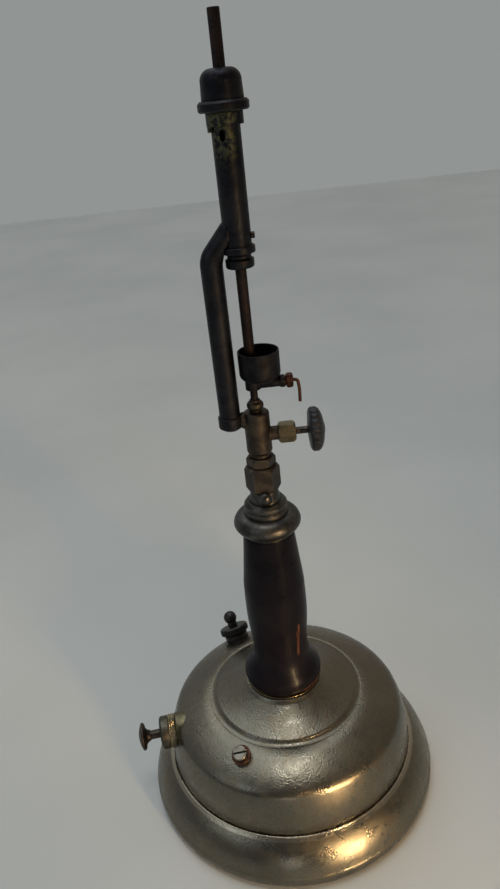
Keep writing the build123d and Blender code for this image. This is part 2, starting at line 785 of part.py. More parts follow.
# The bracket carries the cup, joins stub to generator and drains the cup to the right
with BuildPart() as cup_bracket:
    bracket_foot = bracket_height - bracket_radius
    rod(bracket_plane, bracket_radius, bracket_start, bracket_end)
    rod(bracket_plane, bracket_radius + bracket_rim, bracket_end - bracket_rim_length, bracket_end)
    rod(upright, bracket_boss_radius, bracket_foot, cup_foot)
    rod(drain_plane, drain_boss_radius, bracket_height, cup_foot)
    rod(upright, stub_radius, bracket_foot, bracket_height - tube_gap, mode=Mode.SUBTRACT)
    rod(upright, stub_bore, bracket_foot, cup_foot, mode=Mode.SUBTRACT)
    rod(upright, generator_radius, bracket_height + tube_gap, cup_foot, mode=Mode.SUBTRACT)
    rod(bracket_plane, cock_radius + cock_fit, cock_hole_start, bracket_end, mode=Mode.SUBTRACT)
    rod(drain_plane, drain_bore, bracket_height, cup_foot, mode=Mode.SUBTRACT)
cup_bracket.part.label = "cup_bracket"
export_step(cup_bracket.part, "parts/cup_bracket.step")

with BuildPart() as priming_cup:
    with BuildSketch(side_view(cup_plane)):
        with BuildLine():
            outside = ThreePointArc(*cup_outside)
            Polyline(outside @ 1, (cup_radius, cup_top), (cup_radius - cup_wall, cup_top), cup_inside[0])
            inside = ThreePointArc(*cup_inside)
            Polyline(inside @ 1, (0, cup_foot + cup_wall), (0, cup_foot), outside @ 0)
        make_face()
    revolve(axis=Axis(cup_plane.origin, cup_plane.z_dir))
    rod(upright, generator_radius, cup_foot, cup_top, mode=Mode.SUBTRACT)
    rod(drain_plane, drain_bore, cup_foot, drain_bore_top, mode=Mode.SUBTRACT)
priming_cup.part.label = "priming_cup"
export_step(priming_cup.part, "parts/priming_cup.step")

with BuildPart() as drain_gland:
    hexagon(bracket_plane, drain_gland_flats, drain_gland_neck_end, drain_gland_end, drain_gland_chamfer)
    rod(bracket_plane, drain_gland_neck, bracket_end, drain_gland_neck_end)
    rod(bracket_plane, cock_radius + cock_fit, bracket_end, drain_gland_end, mode=Mode.SUBTRACT)
drain_gland.part.label = "drain_gland"
export_step(drain_gland.part, "parts/drain_gland.step")

# A thin bent lever turns the round cock inside the gland
with BuildPart() as drain_lever:
    rod(bracket_plane, cock_radius, cock_start, lever_start)
    with BuildLine() as lever_line:
        FilletPolyline(*[(x, 0, bracket_height + rise) for x, rise in lever_route], radius=lever_bend_radius)
    with BuildSketch(bracket_plane.offset(lever_start)):
        Circle(lever_radius)
    sweep(path=lever_line.line)
drain_lever.part.label = "drain_lever"
export_step(drain_lever.part, "parts/drain_lever.step")

with BuildPart() as generator_tube:
    tube_foot = bracket_height + tube_gap
    turn(upright, (generator_bore, tube_foot), (generator_radius, tube_foot),
         (generator_radius, tip_top - tip_edge), (generator_radius - tip_edge, tip_top), (0, tip_top),
         (0, tip_top - tip_plug), (generator_bore, tip_top - tip_plug))
generator_tube.part.label = "generator_tube"
export_step(generator_tube.part, "parts/generator_tube.step")

with BuildPart() as feed_tube:
    tube(upright, feed_radius, feed_bore, feed_foot, tip_top - feed_gap)
feed_tube.part.label = "feed_tube"
export_step(feed_tube.part, "parts/feed_tube.step")

# ---------------------------------------------------------------- burner head

with BuildPart() as burner_bush:
    turn(upright, (generator_radius, bush_foot), (bush_foot_radius, bush_foot),
         (bush_body_radius, bush_foot + bush_body_edge), (bush_body_radius, bush_body_top),
         (bush_neck_radius, bush_neck[0]), (bush_neck_radius, bush_neck[1]), (bush_ring_radius, bush_ring_foot),
         (bush_ring_radius, bush_top - bush_ring_edge), (bush_ring_radius - bush_ring_edge, bush_top),
         (burner_radius, bush_top), (burner_radius, burner_foot), (generator_radius, burner_foot))
burner_bush.part.label = "burner_bush"
export_step(burner_bush.part, "parts/burner_bush.step")

with BuildPart() as burner_tube:
    tube(upright, burner_radius, burner_radius - burner_wall, burner_foot, burner_top)
    rod(side_hole_plane, side_hole_radius, 0, burner_radius, mode=Mode.SUBTRACT)
    rod(bush_screw_plane, bush_screw_radius, 0, burner_radius, mode=Mode.SUBTRACT)
    with BuildSketch(port_plane):
        Ellipse(*port_size)
    extrude(amount=burner_radius, mode=Mode.SUBTRACT)
burner_tube.part.label = "burner_tube"
export_step(burner_tube.part, "parts/burner_tube.step")

with BuildPart() as bush_screw:
    rod(bush_screw_plane, bush_screw_head, bush_screw_inner, bush_screw_end)
    rod(upright, burner_radius, bush_foot, flange_foot, mode=Mode.SUBTRACT)
    rod(bush_screw_plane, bush_screw_radius, bush_screw_inner, bush_screw_end)
bush_screw.part.label = "bush_screw"
export_step(bush_screw.part, "parts/bush_screw.step")

with BuildPart() as burner_flange:
    turn(upright, (burner_radius, flange_foot), (flange_radius - flange_foot_edge, flange_foot),
         (flange_radius, flange_foot + flange_foot_edge), (flange_radius, burner_top - flange_top_edge),
         (flange_radius - flange_top_edge, burner_top), (burner_radius, burner_top))
burner_flange.part.label = "burner_flange"
export_step(burner_flange.part, "parts/burner_flange.step")

# What is left of a spring sleeve under the flange, with one claw hanging on the left
with BuildPart() as gallery_clip:
    tube(upright, clip_radius, burner_radius, clip_foot, flange_foot)
    with BuildSketch(Plane.XY.offset(clip_foot - claw_drop)):
        Circle(claw_radius)
        Circle(burner_radius + tube_gap, mode=Mode.SUBTRACT)
        with Locations(claw_centre):
            Rectangle(*claw_size, mode=Mode.INTERSECT)
    extrude(amount=claw_drop + claw_rise)
gallery_clip.part.label = "gallery_clip"
export_step(gallery_clip.part, "parts/gallery_clip.step")

with BuildPart() as burner_gauze:
    tube(upright, gauze_radius, generator_radius, burner_top, burner_top + gauze_height)
burner_gauze.part.label = "burner_gauze"
export_step(burner_gauze.part, "parts/burner_gauze.step")

with BuildPart() as burner_bell:
    with BuildSketch(Plane.XZ):
        with BuildLine():
            wall = Line((bell_foot_radius, burner_top), (bell_top_radius, bell_wall_top))
            crown = ThreePointArc(wall @ 1, bell_crown, (bell_mouth, bell_top))
            mouth = Line(crown @ 1, (bell_mouth, bell_top - bell_wall))
            under = ThreePointArc(mouth @ 1, *bell_under)
            Polyline(under @ 1, (bell_foot_radius - bell_wall, burner_top), wall @ 0)
        make_face()
    revolve(axis=Axis.Z)
burner_bell.part.label = "burner_bell"
export_step(burner_bell.part, "parts/burner_bell.step")

# ---------------------------------------------------------------- air pump

with BuildPart() as pump_boss:
    turn(pump_plane, (barrel_radius, pump_boss_start), (pump_boss_radius, pump_boss_start),
         (pump_boss_radius, pump_boss_end - pump_boss_edge), (pump_boss_radius - pump_boss_edge, pump_boss_end),
         (barrel_radius, pump_boss_end))
pump_boss.part.label = "pump_boss"
export_step(pump_boss.part, "parts/pump_boss.step")

with BuildPart() as pump_barrel:
    tube(pump_plane, barrel_radius, barrel_bore, barrel_start, barrel_end)
pump_barrel.part.label = "pump_barrel"
export_step(pump_barrel.part, "parts/pump_barrel.step")

with BuildPart() as pump_ring:
    turn(pump_plane, (barrel_radius, pump_boss_end), (pump_ring_radius - pump_ring_edge, pump_boss_end),
         (pump_ring_radius, pump_boss_end + pump_ring_edge), (pump_ring_radius, barrel_end - pump_ring_edge),
         (pump_ring_radius - pump_ring_edge, barrel_end), (barrel_radius, barrel_end))
    flutes(pump_plane, pump_ring_radius, pump_ring_grooves, pump_ring_groove, pump_boss_end, barrel_end)
pump_ring.part.label = "pump_ring"
export_step(pump_ring.part, "parts/pump_ring.step")

with BuildPart() as pump_cap:
    turn(pump_plane, (barrel_bore, barrel_end), (pump_cap_radius, barrel_end),
         (pump_cap_radius, pump_cap_end - pump_cap_edge), (pump_cap_radius - pump_cap_edge, pump_cap_end),
         (pump_rod_radius + rod_fit, pump_cap_end), (pump_rod_radius + rod_fit, pump_cap_end - pump_cap_wall),
         (barrel_bore, pump_cap_end - pump_cap_wall))
pump_cap.part.label = "pump_cap"
export_step(pump_cap.part, "parts/pump_cap.step")

with BuildPart() as pump_rod:
    rod(pump_plane, pump_rod_radius, piston_step, pump_rod_end)
    rod(pump_plane, pump_rod_neck, piston_start, piston_step)
pump_rod.part.label = "pump_rod"
export_step(pump_rod.part, "parts/pump_rod.step")

with BuildPart() as pump_knob:
    with BuildSketch(side_view(pump_plane)):
        with BuildLine():
            face = dome_arc(pump_knob_radius, pump_knob_rim, pump_knob_end)
            Polyline(face @ 1, (0, pump_rod_end), (pump_rod_radius, pump_rod_end),
                     (pump_rod_radius, pump_knob_back[0][1]), *pump_knob_back, face @ 0)
        make_face()
    revolve(axis=Axis(pump_plane.origin, pump_plane.z_dir))
pump_knob.part.label = "pump_knob"
export_step(pump_knob.part, "parts/pump_knob.step")

# The cup leather faces inward and seals on the push stroke
with BuildPart() as piston_leather:
    turn(pump_plane, (pump_rod_neck, piston_disc), (piston_skirt, piston_disc), (piston_skirt, piston_start),
         (barrel_bore - rod_fit, piston_start), (barrel_bore - rod_fit, piston_shoulder[1]),
         (piston_shoulder[0], piston_step), (pump_rod_neck, piston_step))
piston_leather.part.label = "piston_leather"
export_step(piston_leather.part, "parts/piston_leather.step")

with BuildPart() as piston_nut:
    hexagon(pump_plane, piston_nut_flats, piston_nut_start, piston_nut_end, piston_nut_chamfer)
    rod(pump_plane, piston_plate, piston_plate_start, piston_disc)
    rod(pump_plane, pump_rod_neck, piston_nut_start, piston_disc, mode=Mode.SUBTRACT)
piston_nut.part.label = "piston_nut"
export_step(piston_nut.part, "parts/piston_nut.step")

with BuildPart() as pump_valve_seat:
    rod(pump_plane, barrel_bore, barrel_start, valve_seat_end)
    rod(pump_plane, valve_cage_radius, valve_cage_start, barrel_start)
    rod(pump_plane, valve_cage_bore, valve_cage_floor, valve_cage_top, mode=Mode.SUBTRACT)
    rod(pump_plane, valve_way, valve_cage_start, valve_seat_end, mode=Mode.SUBTRACT)
pump_valve_seat.part.label = "pump_valve_seat"
export_step(pump_valve_seat.part, "parts/pump_valve_seat.step")

with BuildPart() as pump_valve_ball:
    turn_ball(pump_plane, valve_ball_radius, valve_ball_at)
pump_valve_ball.part.label = "pump_valve_ball"
export_step(pump_valve_ball.part, "parts/pump_valve_ball.step")

# ---------------------------------------------------------------- filler with air screw

with BuildPart() as filler_boss:
    turn(filler_plane, (thread_radius + thread_fit, fitting_foot), (filler_boss_radius, fitting_foot),
         (filler_boss_radius, filler_boss_top - filler_boss_edge),
         (filler_boss_radius - filler_boss_edge, filler_boss_top), (thread_radius + thread_fit, filler_boss_top))
filler_boss.part.label = "filler_boss"
export_step(filler_boss.part, "parts/filler_boss.step")

with BuildPart() as filler_gasket:
    tube(filler_plane, filler_boss_radius - filler_boss_edge, thread_radius + thread_fit, filler_boss_top,
         filler_boss_top + gasket_height)
filler_gasket.part.label = "filler_gasket"
export_step(filler_gasket.part, "parts/filler_gasket.step")

with BuildPart() as filler_stem:
    neck_foot = filler_boss_top + gasket_height
    neck_top = filler_disc_top - filler_disc_slope
    turn(filler_plane, (vent_seat_radius, filler_stem_foot), (thread_radius - filler_stem_edge, filler_stem_foot),
         (thread_radius, filler_stem_foot + filler_stem_edge), (thread_radius, neck_foot),
         (filler_neck_radius, neck_foot), (filler_neck_radius, neck_top), (vent_radius + spindle_fit, neck_top),
         (vent_radius + spindle_fit, vent_seat_top), (vent_seat_radius, vent_seat_top))
filler_stem.part.label = "filler_stem"
export_step(filler_stem.part, "parts/filler_stem.step")

with BuildPart() as filler_disc:
    disc_bore = filler_neck_radius + spindle_fit
    turn(filler_plane, (disc_bore, filler_disc_start), (filler_disc_radius - filler_disc_edge, filler_disc_start),
         (filler_disc_radius, filler_disc_start + filler_disc_edge),
         (filler_disc_radius, filler_disc_top - filler_disc_slope),
         (filler_disc_radius - filler_disc_slope, filler_disc_top), (filler_disc_hole, filler_disc_top),
         (filler_disc_hole, filler_disc_top - filler_disc_edge), (disc_bore, filler_disc_top - filler_disc_edge))
    flutes(filler_plane, filler_disc_radius, filler_disc_grooves, filler_disc_groove, filler_boss_top,
           filler_disc_top)
filler_disc.part.label = "filler_disc"
export_step(filler_disc.part, "parts/filler_disc.step")

with BuildPart() as vent_stem:
    stem_end = vent_ball_height - vent_stem_gap
    turn(filler_plane, (0, vent_start), (vent_radius, vent_cone_end), (vent_radius, stem_end), (0, stem_end))
vent_stem.part.label = "vent_stem"
export_step(vent_stem.part, "parts/vent_stem.step")

with BuildPart() as vent_knob:
    rod(filler_plane, vent_neck_radius, vent_neck_start, vent_ball_height)
    turn_ball(filler_plane, vent_ball_radius, vent_ball_height)
    hole_end = vent_ball_height - vent_hole_gap
    rod(filler_plane, vent_radius + spindle_fit, filler_disc_top, hole_end, mode=Mode.SUBTRACT)
vent_knob.part.label = "vent_knob"
export_step(vent_knob.part, "parts/vent_knob.step")

# ---------------------------------------------------------------- level plug

with BuildPart() as plug_boss:
    turn(plug_plane, (plug_thread_radius, fitting_foot), (plug_boss_radius, fitting_foot),
         (plug_boss_radius, plug_boss_top - plug_edge), (plug_boss_radius - plug_edge, plug_boss_top),
         (plug_thread_radius, plug_boss_top))
plug_boss.part.label = "plug_boss"
export_step(plug_boss.part, "parts/plug_boss.step")

with BuildPart() as plug_washer:
    tube(plug_plane, plug_washer_radius, plug_thread_radius, plug_boss_top, plug_washer_top)
plug_washer.part.label = "plug_washer"
export_step(plug_washer.part, "parts/plug_washer.step")

with BuildPart() as level_plug:
    turn(plug_plane, (0, plug_start), (plug_thread_radius, plug_start), (plug_thread_radius, plug_washer_top),
         (plug_head_radius, plug_washer_top), (plug_head_radius, plug_top - plug_edge),
         (plug_head_radius - plug_edge, plug_top), (0, plug_top))
    with BuildSketch(plug_plane.offset(plug_top)):
        Rectangle(3 * plug_head_radius, plug_slot_width, rotation=plug_slot_angle)
    extrude(amount=-plug_slot_depth, mode=Mode.SUBTRACT)
level_plug.part.label = "level_plug"
export_step(level_plug.part, "parts/level_plug.step")
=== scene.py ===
"""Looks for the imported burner: turned pieces are rebuilt smooth from the frame's own outlines, and
every surface gets an aged metal, wood or leather finish. Lengths are in metres."""

import json
from math import atan2, ceil, cos, pi, radians, sin, sqrt, tan

import bmesh
import bpy
import numpy as np
from mathutils import Matrix, Vector

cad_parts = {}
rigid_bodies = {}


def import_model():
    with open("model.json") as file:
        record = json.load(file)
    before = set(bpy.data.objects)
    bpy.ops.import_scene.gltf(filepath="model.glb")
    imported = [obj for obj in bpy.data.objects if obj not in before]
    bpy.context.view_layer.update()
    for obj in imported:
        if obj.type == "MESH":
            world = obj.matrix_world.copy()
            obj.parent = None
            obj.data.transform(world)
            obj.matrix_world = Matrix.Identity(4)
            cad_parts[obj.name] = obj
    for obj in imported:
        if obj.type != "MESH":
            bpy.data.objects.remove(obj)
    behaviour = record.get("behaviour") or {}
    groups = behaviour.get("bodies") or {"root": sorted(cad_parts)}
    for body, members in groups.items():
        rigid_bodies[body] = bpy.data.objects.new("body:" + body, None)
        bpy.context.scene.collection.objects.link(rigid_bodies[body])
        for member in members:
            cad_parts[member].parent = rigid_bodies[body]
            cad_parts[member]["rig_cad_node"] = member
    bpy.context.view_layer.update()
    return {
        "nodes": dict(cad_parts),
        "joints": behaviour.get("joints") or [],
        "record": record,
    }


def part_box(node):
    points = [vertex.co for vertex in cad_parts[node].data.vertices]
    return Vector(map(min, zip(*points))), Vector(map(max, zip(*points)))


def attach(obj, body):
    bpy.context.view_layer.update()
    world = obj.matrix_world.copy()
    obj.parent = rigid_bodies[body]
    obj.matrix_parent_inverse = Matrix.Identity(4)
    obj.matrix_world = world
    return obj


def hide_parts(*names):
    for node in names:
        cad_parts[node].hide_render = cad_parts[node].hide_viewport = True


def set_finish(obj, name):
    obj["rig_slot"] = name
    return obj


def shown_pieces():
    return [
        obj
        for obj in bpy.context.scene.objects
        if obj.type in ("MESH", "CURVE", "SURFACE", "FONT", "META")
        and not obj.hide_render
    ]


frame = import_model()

MM = 0.001
record = frame["record"]
body_of = {node: body for body, nodes in record["behaviour"]["bodies"].items() for node in nodes}
slot_of = {part["node"]: part["material_slot"] for part in record["subparts"]}
joints = {joint["name"]: joint for joint in frame["joints"]}


# ---------------------------------------------------------------- places

def middle(node):
    low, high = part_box(node)
    return (low + high) / 2


def place(origin, direction=(0, 0, 1), across=(1, 0, 0)):
    """A matrix whose local Z runs along direction and whose local X runs along across."""
    z = Vector(direction).normalized()
    x = Vector(across)
    x = (x - x.dot(z) * z).normalized()
    y = z.cross(x)
    turned_to = Matrix((x, y, z)).transposed().to_4x4()
    return Matrix.Translation(Vector(origin)) @ turned_to


upright = place((0, 0, 0))
jet_line = place((middle("jet_housing").x, 0, 0))
cup_line = place((middle("priming_cup").x, 0, 0))
valve_line = place((0, 0, joints["wheel_turn"]["pos_m"][2]), (1, 0, 0), (0, 1, 0))
bracket_line = place((0, 0, joints["drain_turn"]["pos_m"][2]), (1, 0, 0), (0, 1, 0))
screw_line = place((0, 0, middle("socket_screw").z), (0, -1, 0))
pump_out = Vector(joints["pump_stroke"]["axis"])
pump_line = place((0, 0, middle("pump_knob").z), pump_out, (-pump_out.y, pump_out.x, 0))

filler_base = Vector(joints["filler_turn"]["pos_m"])
filler_out = Vector(joints["filler_turn"]["axis"])
filler_line = place(filler_base, filler_out, (-filler_base.y, filler_base.x, 0))
plug_lean = radians(23)
plug_spot = middle("plug_washer")
plug_side = Vector((plug_spot.x, plug_spot.y, 0)).normalized()
plug_out = plug_side * sin(plug_lean) + Vector((0, 0, cos(plug_lean)))
plug_line = place(plug_spot, plug_out, (-plug_side.y, plug_side.x, 0))


# ---------------------------------------------------------------- outlines read from the frame

# Outlines are cut this far, in radians, off the seam of the frame's meshes
SEAM_OFFSET = 1e-4
WELD_GRID = 1e-6
LINK_GRID = 2e-6
SAME_POINT = 15e-6
STRAIGHT = 4e-6
TINY = 1e-9
# A sharper turn than this is a corner, and gentler ones belong to a curve
CORNER = radians(24)
MUCH_LONGER = 2.2
CURVE_STEP = radians(2.5)
MOST_CURVE_PARTS = 6
ROUNDING_STEP = radians(24)
MOST_CUT_BACK = 0.42


def welded(node):
    """A CAD node's points with doubles merged, and its triangles."""
    mesh = frame["nodes"][node].data
    mesh.calc_loop_triangles()
    points = np.array([v.co for v in mesh.vertices], float).reshape(-1, 3)
    triangles = np.array([t.vertices for t in mesh.loop_triangles])
    _, first, same = np.unique(np.round(points / WELD_GRID), axis=0, return_index=True, return_inverse=True)
    return points[first], same.reshape(-1)[triangles]


def seen_from(node, where):
    """A CAD node's points in a place's own coordinates, and its triangles."""
    points, triangles = welded(node)
    back = np.array(where.inverted())
    return points @ back[:3, :3].T + back[:3, 3], triangles


def cut_segments(points, triangles, angle):
    """Where a half-plane from the local Z axis, at an angle from local X, cuts the triangles."""
    along = points[:, 0] * cos(angle) + points[:, 1] * sin(angle)
    off = points[:, 1] * cos(angle) - points[:, 0] * sin(angle)
    found = []
    above = off[triangles] >= 0
    for triangle in triangles[above.any(axis=1) & ~above.all(axis=1)]:
        ends = []
        for a, b in ((0, 1), (1, 2), (2, 0)):
            i, j = sorted((triangle[a], triangle[b]))
            if (off[i] >= 0) != (off[j] >= 0):
                t = off[i] / (off[i] - off[j])
                radius = along[i] + t * (along[j] - along[i])
                height = points[i, 2] + t * (points[j, 2] - points[i, 2])
                ends.append((radius, height))
        (r0, h0), (r1, h1) = ends
        if r0 < 0 and r1 < 0:
            continue
        if r0 < 0 or r1 < 0:
            t = r0 / (r0 - r1)
            crossing = (0.0, h0 + t * (h1 - h0))
            ends = [crossing if r < 0 else (r, h) for r, h in ends]
        found.append(ends)
    return found


def outline_of(node, where, angle=SEAM_OFFSET):
    """The (radius, height) outline of a CAD node about an axis, and whether it is a closed ring."""
    points, triangles = seen_from(node, where)
    links = {}
    spot = {}
    for ends in cut_segments(points, triangles, angle):
        keys = [(round(r / LINK_GRID), round(h / LINK_GRID)) for r, h in ends]
        if keys[0] == keys[1]:
            continue
        for key, end in zip(keys, ends):
            spot[key] = end
        links.setdefault(keys[0], []).append(keys[1])
        links.setdefault(keys[1], []).append(keys[0])
    loose = [key for key, others in links.items() if len(others) == 1]
    start = min(loose or links, key=lambda key: key[1])
    path = [start]
    while True:
        onward = [key for key in links[path[-1]] if key not in path[-2:]]
        if not onward or onward[0] == start:
            break
        path.append(onward[0])
    line = [spot[key] for key in path]
    return cleaned(line, closed=not loose), not loose


def cleaned(line, closed):
    """Drops doubled points and points in line."""
    kept = []
    for point in line:
        if not kept or np.hypot(point[0] - kept[-1][0], point[1] - kept[-1][1]) > SAME_POINT:
            kept.append(point)
    changed = True
    while changed:
        changed = False
        for i in range(0 if closed else 1, len(kept) if closed else len(kept) - 1):
            a, b, c = (np.array(kept[k % len(kept)]) for k in (i - 1, i, i + 1))
            base = c - a
            aside = abs(base[0] * (b - a)[1] - base[1] * (b - a)[0]) / max(np.hypot(*base), TINY)
            if aside < STRAIGHT and (b - a) @ (c - b) > 0:
                kept.pop(i % len(kept))
                changed = True
                break
    return kept


def smooth_outline(line, closed, edge):
    """Runs a smooth curve through an outline's bent stretches and rounds its corners to a radius."""
    points = [np.array(p) for p in line]
    count = len(points)
    steps = [points[(i + 1) % count] - points[i] for i in range(count if closed else count - 1)]
    lengths = [np.hypot(*step) for step in steps]
    heads = [step / length for step, length in zip(steps, lengths)]

    def turn_at(i):
        before, after = heads[i - 1], heads[i % len(heads)]
        return atan2(before[0] * after[1] - before[1] * after[0], before @ after)

    inner = range(count) if closed else range(1, count - 1)
    corner = {i for i in inner if abs(turn_at(i)) > CORNER}
    tangent = {}
    for i in inner:
        if i in corner:
            continue
        before, after = lengths[i - 1], lengths[i % len(lengths)]
        if after > MUCH_LONGER * before:
            tangent[i] = heads[i % len(heads)]
        elif before > MUCH_LONGER * after:
            tangent[i] = heads[i - 1]
        else:
            mixed = heads[i - 1] / before + heads[i % len(heads)] / after
            tangent[i] = mixed / np.hypot(*mixed)
    fine = []
    marks = []
    for i, (head, length) in enumerate(zip(heads, lengths)):
        start, end = points[i], points[(i + 1) % count]
        leave = tangent.get(i, head)
        arrive = tangent.get((i + 1) % count, head)
        bend = max(abs(atan2(head[0] * v[1] - head[1] * v[0], head @ v)) for v in (leave, arrive))
        parts = max(1, min(MOST_CURVE_PARTS, ceil(bend / CURVE_STEP)))
        marks.append(i in corner)
        fine.append(start)
        for k in range(1, parts):
            t = k / parts
            fine.append((2 * t**3 - 3 * t**2 + 1) * start + (t**3 - 2 * t**2 + t) * length * leave
                        + (3 * t**2 - 2 * t**3) * end + (t**3 - t**2) * length * arrive)
            marks.append(False)
    if not closed:
        fine.append(points[-1])
        marks.append(False)
    rounded = []
    for i, point in enumerate(fine):
        if not marks[i]:
            rounded.append(point)
            continue
        before, after = fine[i - 1] - point, fine[(i + 1) % len(fine)] - point
        near = min(np.hypot(*before), np.hypot(*after))
        u, v = before / np.hypot(*before), after / np.hypot(*after)
        open_angle = np.arccos(np.clip(u @ v, -1, 1))
        cut = min(edge / tan(open_angle / 2), MOST_CUT_BACK * near)
        radius = cut * tan(open_angle / 2)
        centre = point + (u + v) / np.hypot(*(u + v)) * radius / sin(open_angle / 2)
        first, last = point + u * cut, point + v * cut
        pieces = max(2, ceil((pi - open_angle) / ROUNDING_STEP))
        for k in range(pieces + 1):
            mixed = first + (last - first) * k / pieces - centre
            rounded.append(centre + mixed / np.hypot(*mixed) * radius)
    return [(max(0.0, float(p[0])), float(p[1])) for p in rounded]


def divided(line, closed, longest):
    """Splits an outline's long stretches, so that a pattern has points to follow."""
    result = []
    count = len(line)
    for i in range(count if closed else count - 1):
        a, b = np.array(line[i]), np.array(line[(i + 1) % count])
        parts = max(1, ceil(np.hypot(*(b - a)) / longest))
        result += [tuple(a + (b - a) * k / parts) for k in range(parts)]
    return result if closed else result + [line[-1]]


# ---------------------------------------------------------------- building pieces

SHARP_DEGREES = 40
SAME_VERTEX = 1e-7
ON_AXIS = 1e-6


def shaded(mesh, angle=SHARP_DEGREES):
    mesh.polygons.foreach_set("use_smooth", [True] * len(mesh.polygons))
    mesh.set_sharp_from_angle(angle=radians(angle))


def piece_from(name, vertices, faces, where=upright):
    mesh = bpy.data.meshes.new(name)
    mesh.from_pydata([where @ Vector(v) for v in vertices], [], faces)
    mesh.validate()
    tidy = bmesh.new()
    tidy.from_mesh(mesh)
    bmesh.ops.remove_doubles(tidy, verts=tidy.verts, dist=SAME_VERTEX)
    bmesh.ops.recalc_face_normals(tidy, faces=tidy.faces)
    tidy.to_mesh(mesh)
    tidy.free()
    shaded(mesh)
    piece = bpy.data.objects.new(name, mesh)
    bpy.context.scene.collection.objects.link(piece)
    return piece


def stands_for(piece, node):
    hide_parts(node)
    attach(piece, body_of[node])
    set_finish(piece, slot_of[node])
    return piece


def spun(name, line, closed, where, sides=96, shape=None):
    """A mesh turned about a place's Z axis. shape(turn, radius, height) may change the radii."""
    turns = np.arange(sides) * 2 * pi / sides
    vertices = []
    rings = []
    for radius, height in line:
        if radius < ON_AXIS:
            rings.append([len(vertices)] * sides)
            vertices.append((0, 0, height))
            continue
        radii = np.full(sides, radius) if shape is None else shape(turns, radius, height)
        rings.append(list(range(len(vertices), len(vertices) + sides)))
        vertices += [(r * cos(t), r * sin(t), height) for r, t in zip(radii, turns)]
    faces = []
    pairs = list(zip(rings, rings[1:])) + ([(rings[-1], rings[0])] if closed else [])
    for low, high in pairs:
        for k in range(sides):
            n = (k + 1) % sides
            corners = [low[k], low[n], high[n], high[k]]
            face = [c for i, c in enumerate(corners) if c not in corners[:i]]
            if len(face) > 2:
                faces.append(face)
    return piece_from(name, vertices, faces, where)


def turned(node, where=upright, sides=96, edge=0.25 * MM, shape=None, longest=None, angle=SEAM_OFFSET):
    """Stands for a turned CAD node: its own outline, made smooth, with rounded edges."""
    line, closed = outline_of(node, where, angle)
    line = smooth_outline(line, closed, edge)
    if longest:
        line = divided(line, closed, longest)
    return stands_for(spun(node + "_turned", line, closed, where, sides, shape), node)


def hexagon_shape(flats):
    """Keeps a turned outline inside a hexagon, so that its turned-off corners stay."""
    def shape(turns, radius, height):
        within = (turns + pi / 6) % (pi / 3) - pi / 6
        limit = flats / 2 / np.cos(pi / 6 - np.abs(within))
        return np.minimum(radius, limit)
    return shape


def fluted_shape(radius, count, depth, sharp):
    """Grooves along a rim, as deep as depth where the radius is reached."""
    fade = 2.2 * depth

    def shape(turns, r, height):
        wave = np.abs(np.sin(turns * count / 2)) ** sharp
        reach = np.clip((r - radius + fade) / fade, 0, 1)
        return r - depth * reach * (1 - wave)
    return shape


def knurled_shape(radius, count, depth, pitch):
    """Two crossing sets of spiral grooves on a rim."""
    fade = 2 * depth

    def shape(turns, r, height):
        climb = 2 * pi * height / pitch
        crossing = np.minimum(np.abs(np.sin((turns * count + climb) / 2)),
                              np.abs(np.sin((turns * count - climb) / 2)))
        reach = np.clip((r - radius + fade) / fade, 0, 1)
        return r - depth * reach * (1 - crossing)
    return shape


def crest_angle(node, where):
    """The turn about a place's Z axis at which a node reaches furthest out, and how far."""
    points, _ = seen_from(node, where)
    reach = np.hypot(points[:, 0], points[:, 1])
    furthest = points[reach.argmax()]
    return atan2(furthest[1], furthest[0]), float(reach.max())


NUT_SIDES = 180
NUT_GRAIN = 0.35 * MM


def nut(node, where):
    """A hexagon nut whose flats, chamfers and bore come from the frame."""
    corner, reach = crest_angle(node, where)
    start = Matrix.Rotation(corner, 4, "Z")
    shape = hexagon_shape(reach * sqrt(3))
    return turned(node, where @ start, NUT_SIDES, 0.2 * MM, shape, NUT_GRAIN)


def rimmed(node, where, grooves, points_each, edge, longest, shape, **groove):
    """A turned piece with a grooved rim, which starts at the highest point of the frame's own rim."""
    crest, reach = crest_angle(node, where)
    start = Matrix.Rotation(crest, 4, "Z")
    return turned(node, where @ start, grooves * points_each, edge, shape(reach, grooves, **groove), longest)


def applied(piece):
    """Gives a piece the mesh that its modifiers make of it."""
    shown = piece.evaluated_get(bpy.context.evaluated_depsgraph_get())
    mesh = bpy.data.meshes.new_from_object(shown)
    piece.modifiers.clear()
    piece.data = mesh


CAST_SMOOTHING = 0.5
CAST_SHARP_DEGREES = 50


def cast(node, voxel, steps):
    """Stands for a CAD node whose branches run into each other with soft fillets."""
    points, triangles = welded(node)
    piece = piece_from(node + "_cast", points, triangles.tolist())
    remesh = piece.modifiers.new("remesh", "REMESH")
    remesh.mode = "VOXEL"
    remesh.voxel_size = voxel
    smooth = piece.modifiers.new("smooth", "SMOOTH")
    smooth.iterations = steps
    smooth.factor = CAST_SMOOTHING
    applied(piece)
    shaded(piece.data, CAST_SHARP_DEGREES)
    return stands_for(piece, node)


def bored(piece, where, radius, start, end):
    """Cuts a round hole through a piece, along a place's Z axis."""
    cutter = spun("cutter", [(0.0, start), (radius, start), (radius, end), (0.0, end)], False, where)
    cut = piece.modifiers.new("bore", "BOOLEAN")
    cut.solver = "EXACT"
    cut.object = cutter
    applied(piece)
    bpy.data.objects.remove(cutter)
    shaded(piece.data)


# ---------------------------------------------------------------- finishes

# The colour sockets of Blender's mix node, which share their names with its other sockets
MIX_A, MIX_B, MIX_RESULT = 6, 7, 2
OPEN_CORNER, DEEP_CORNER = 0.75, 0.25


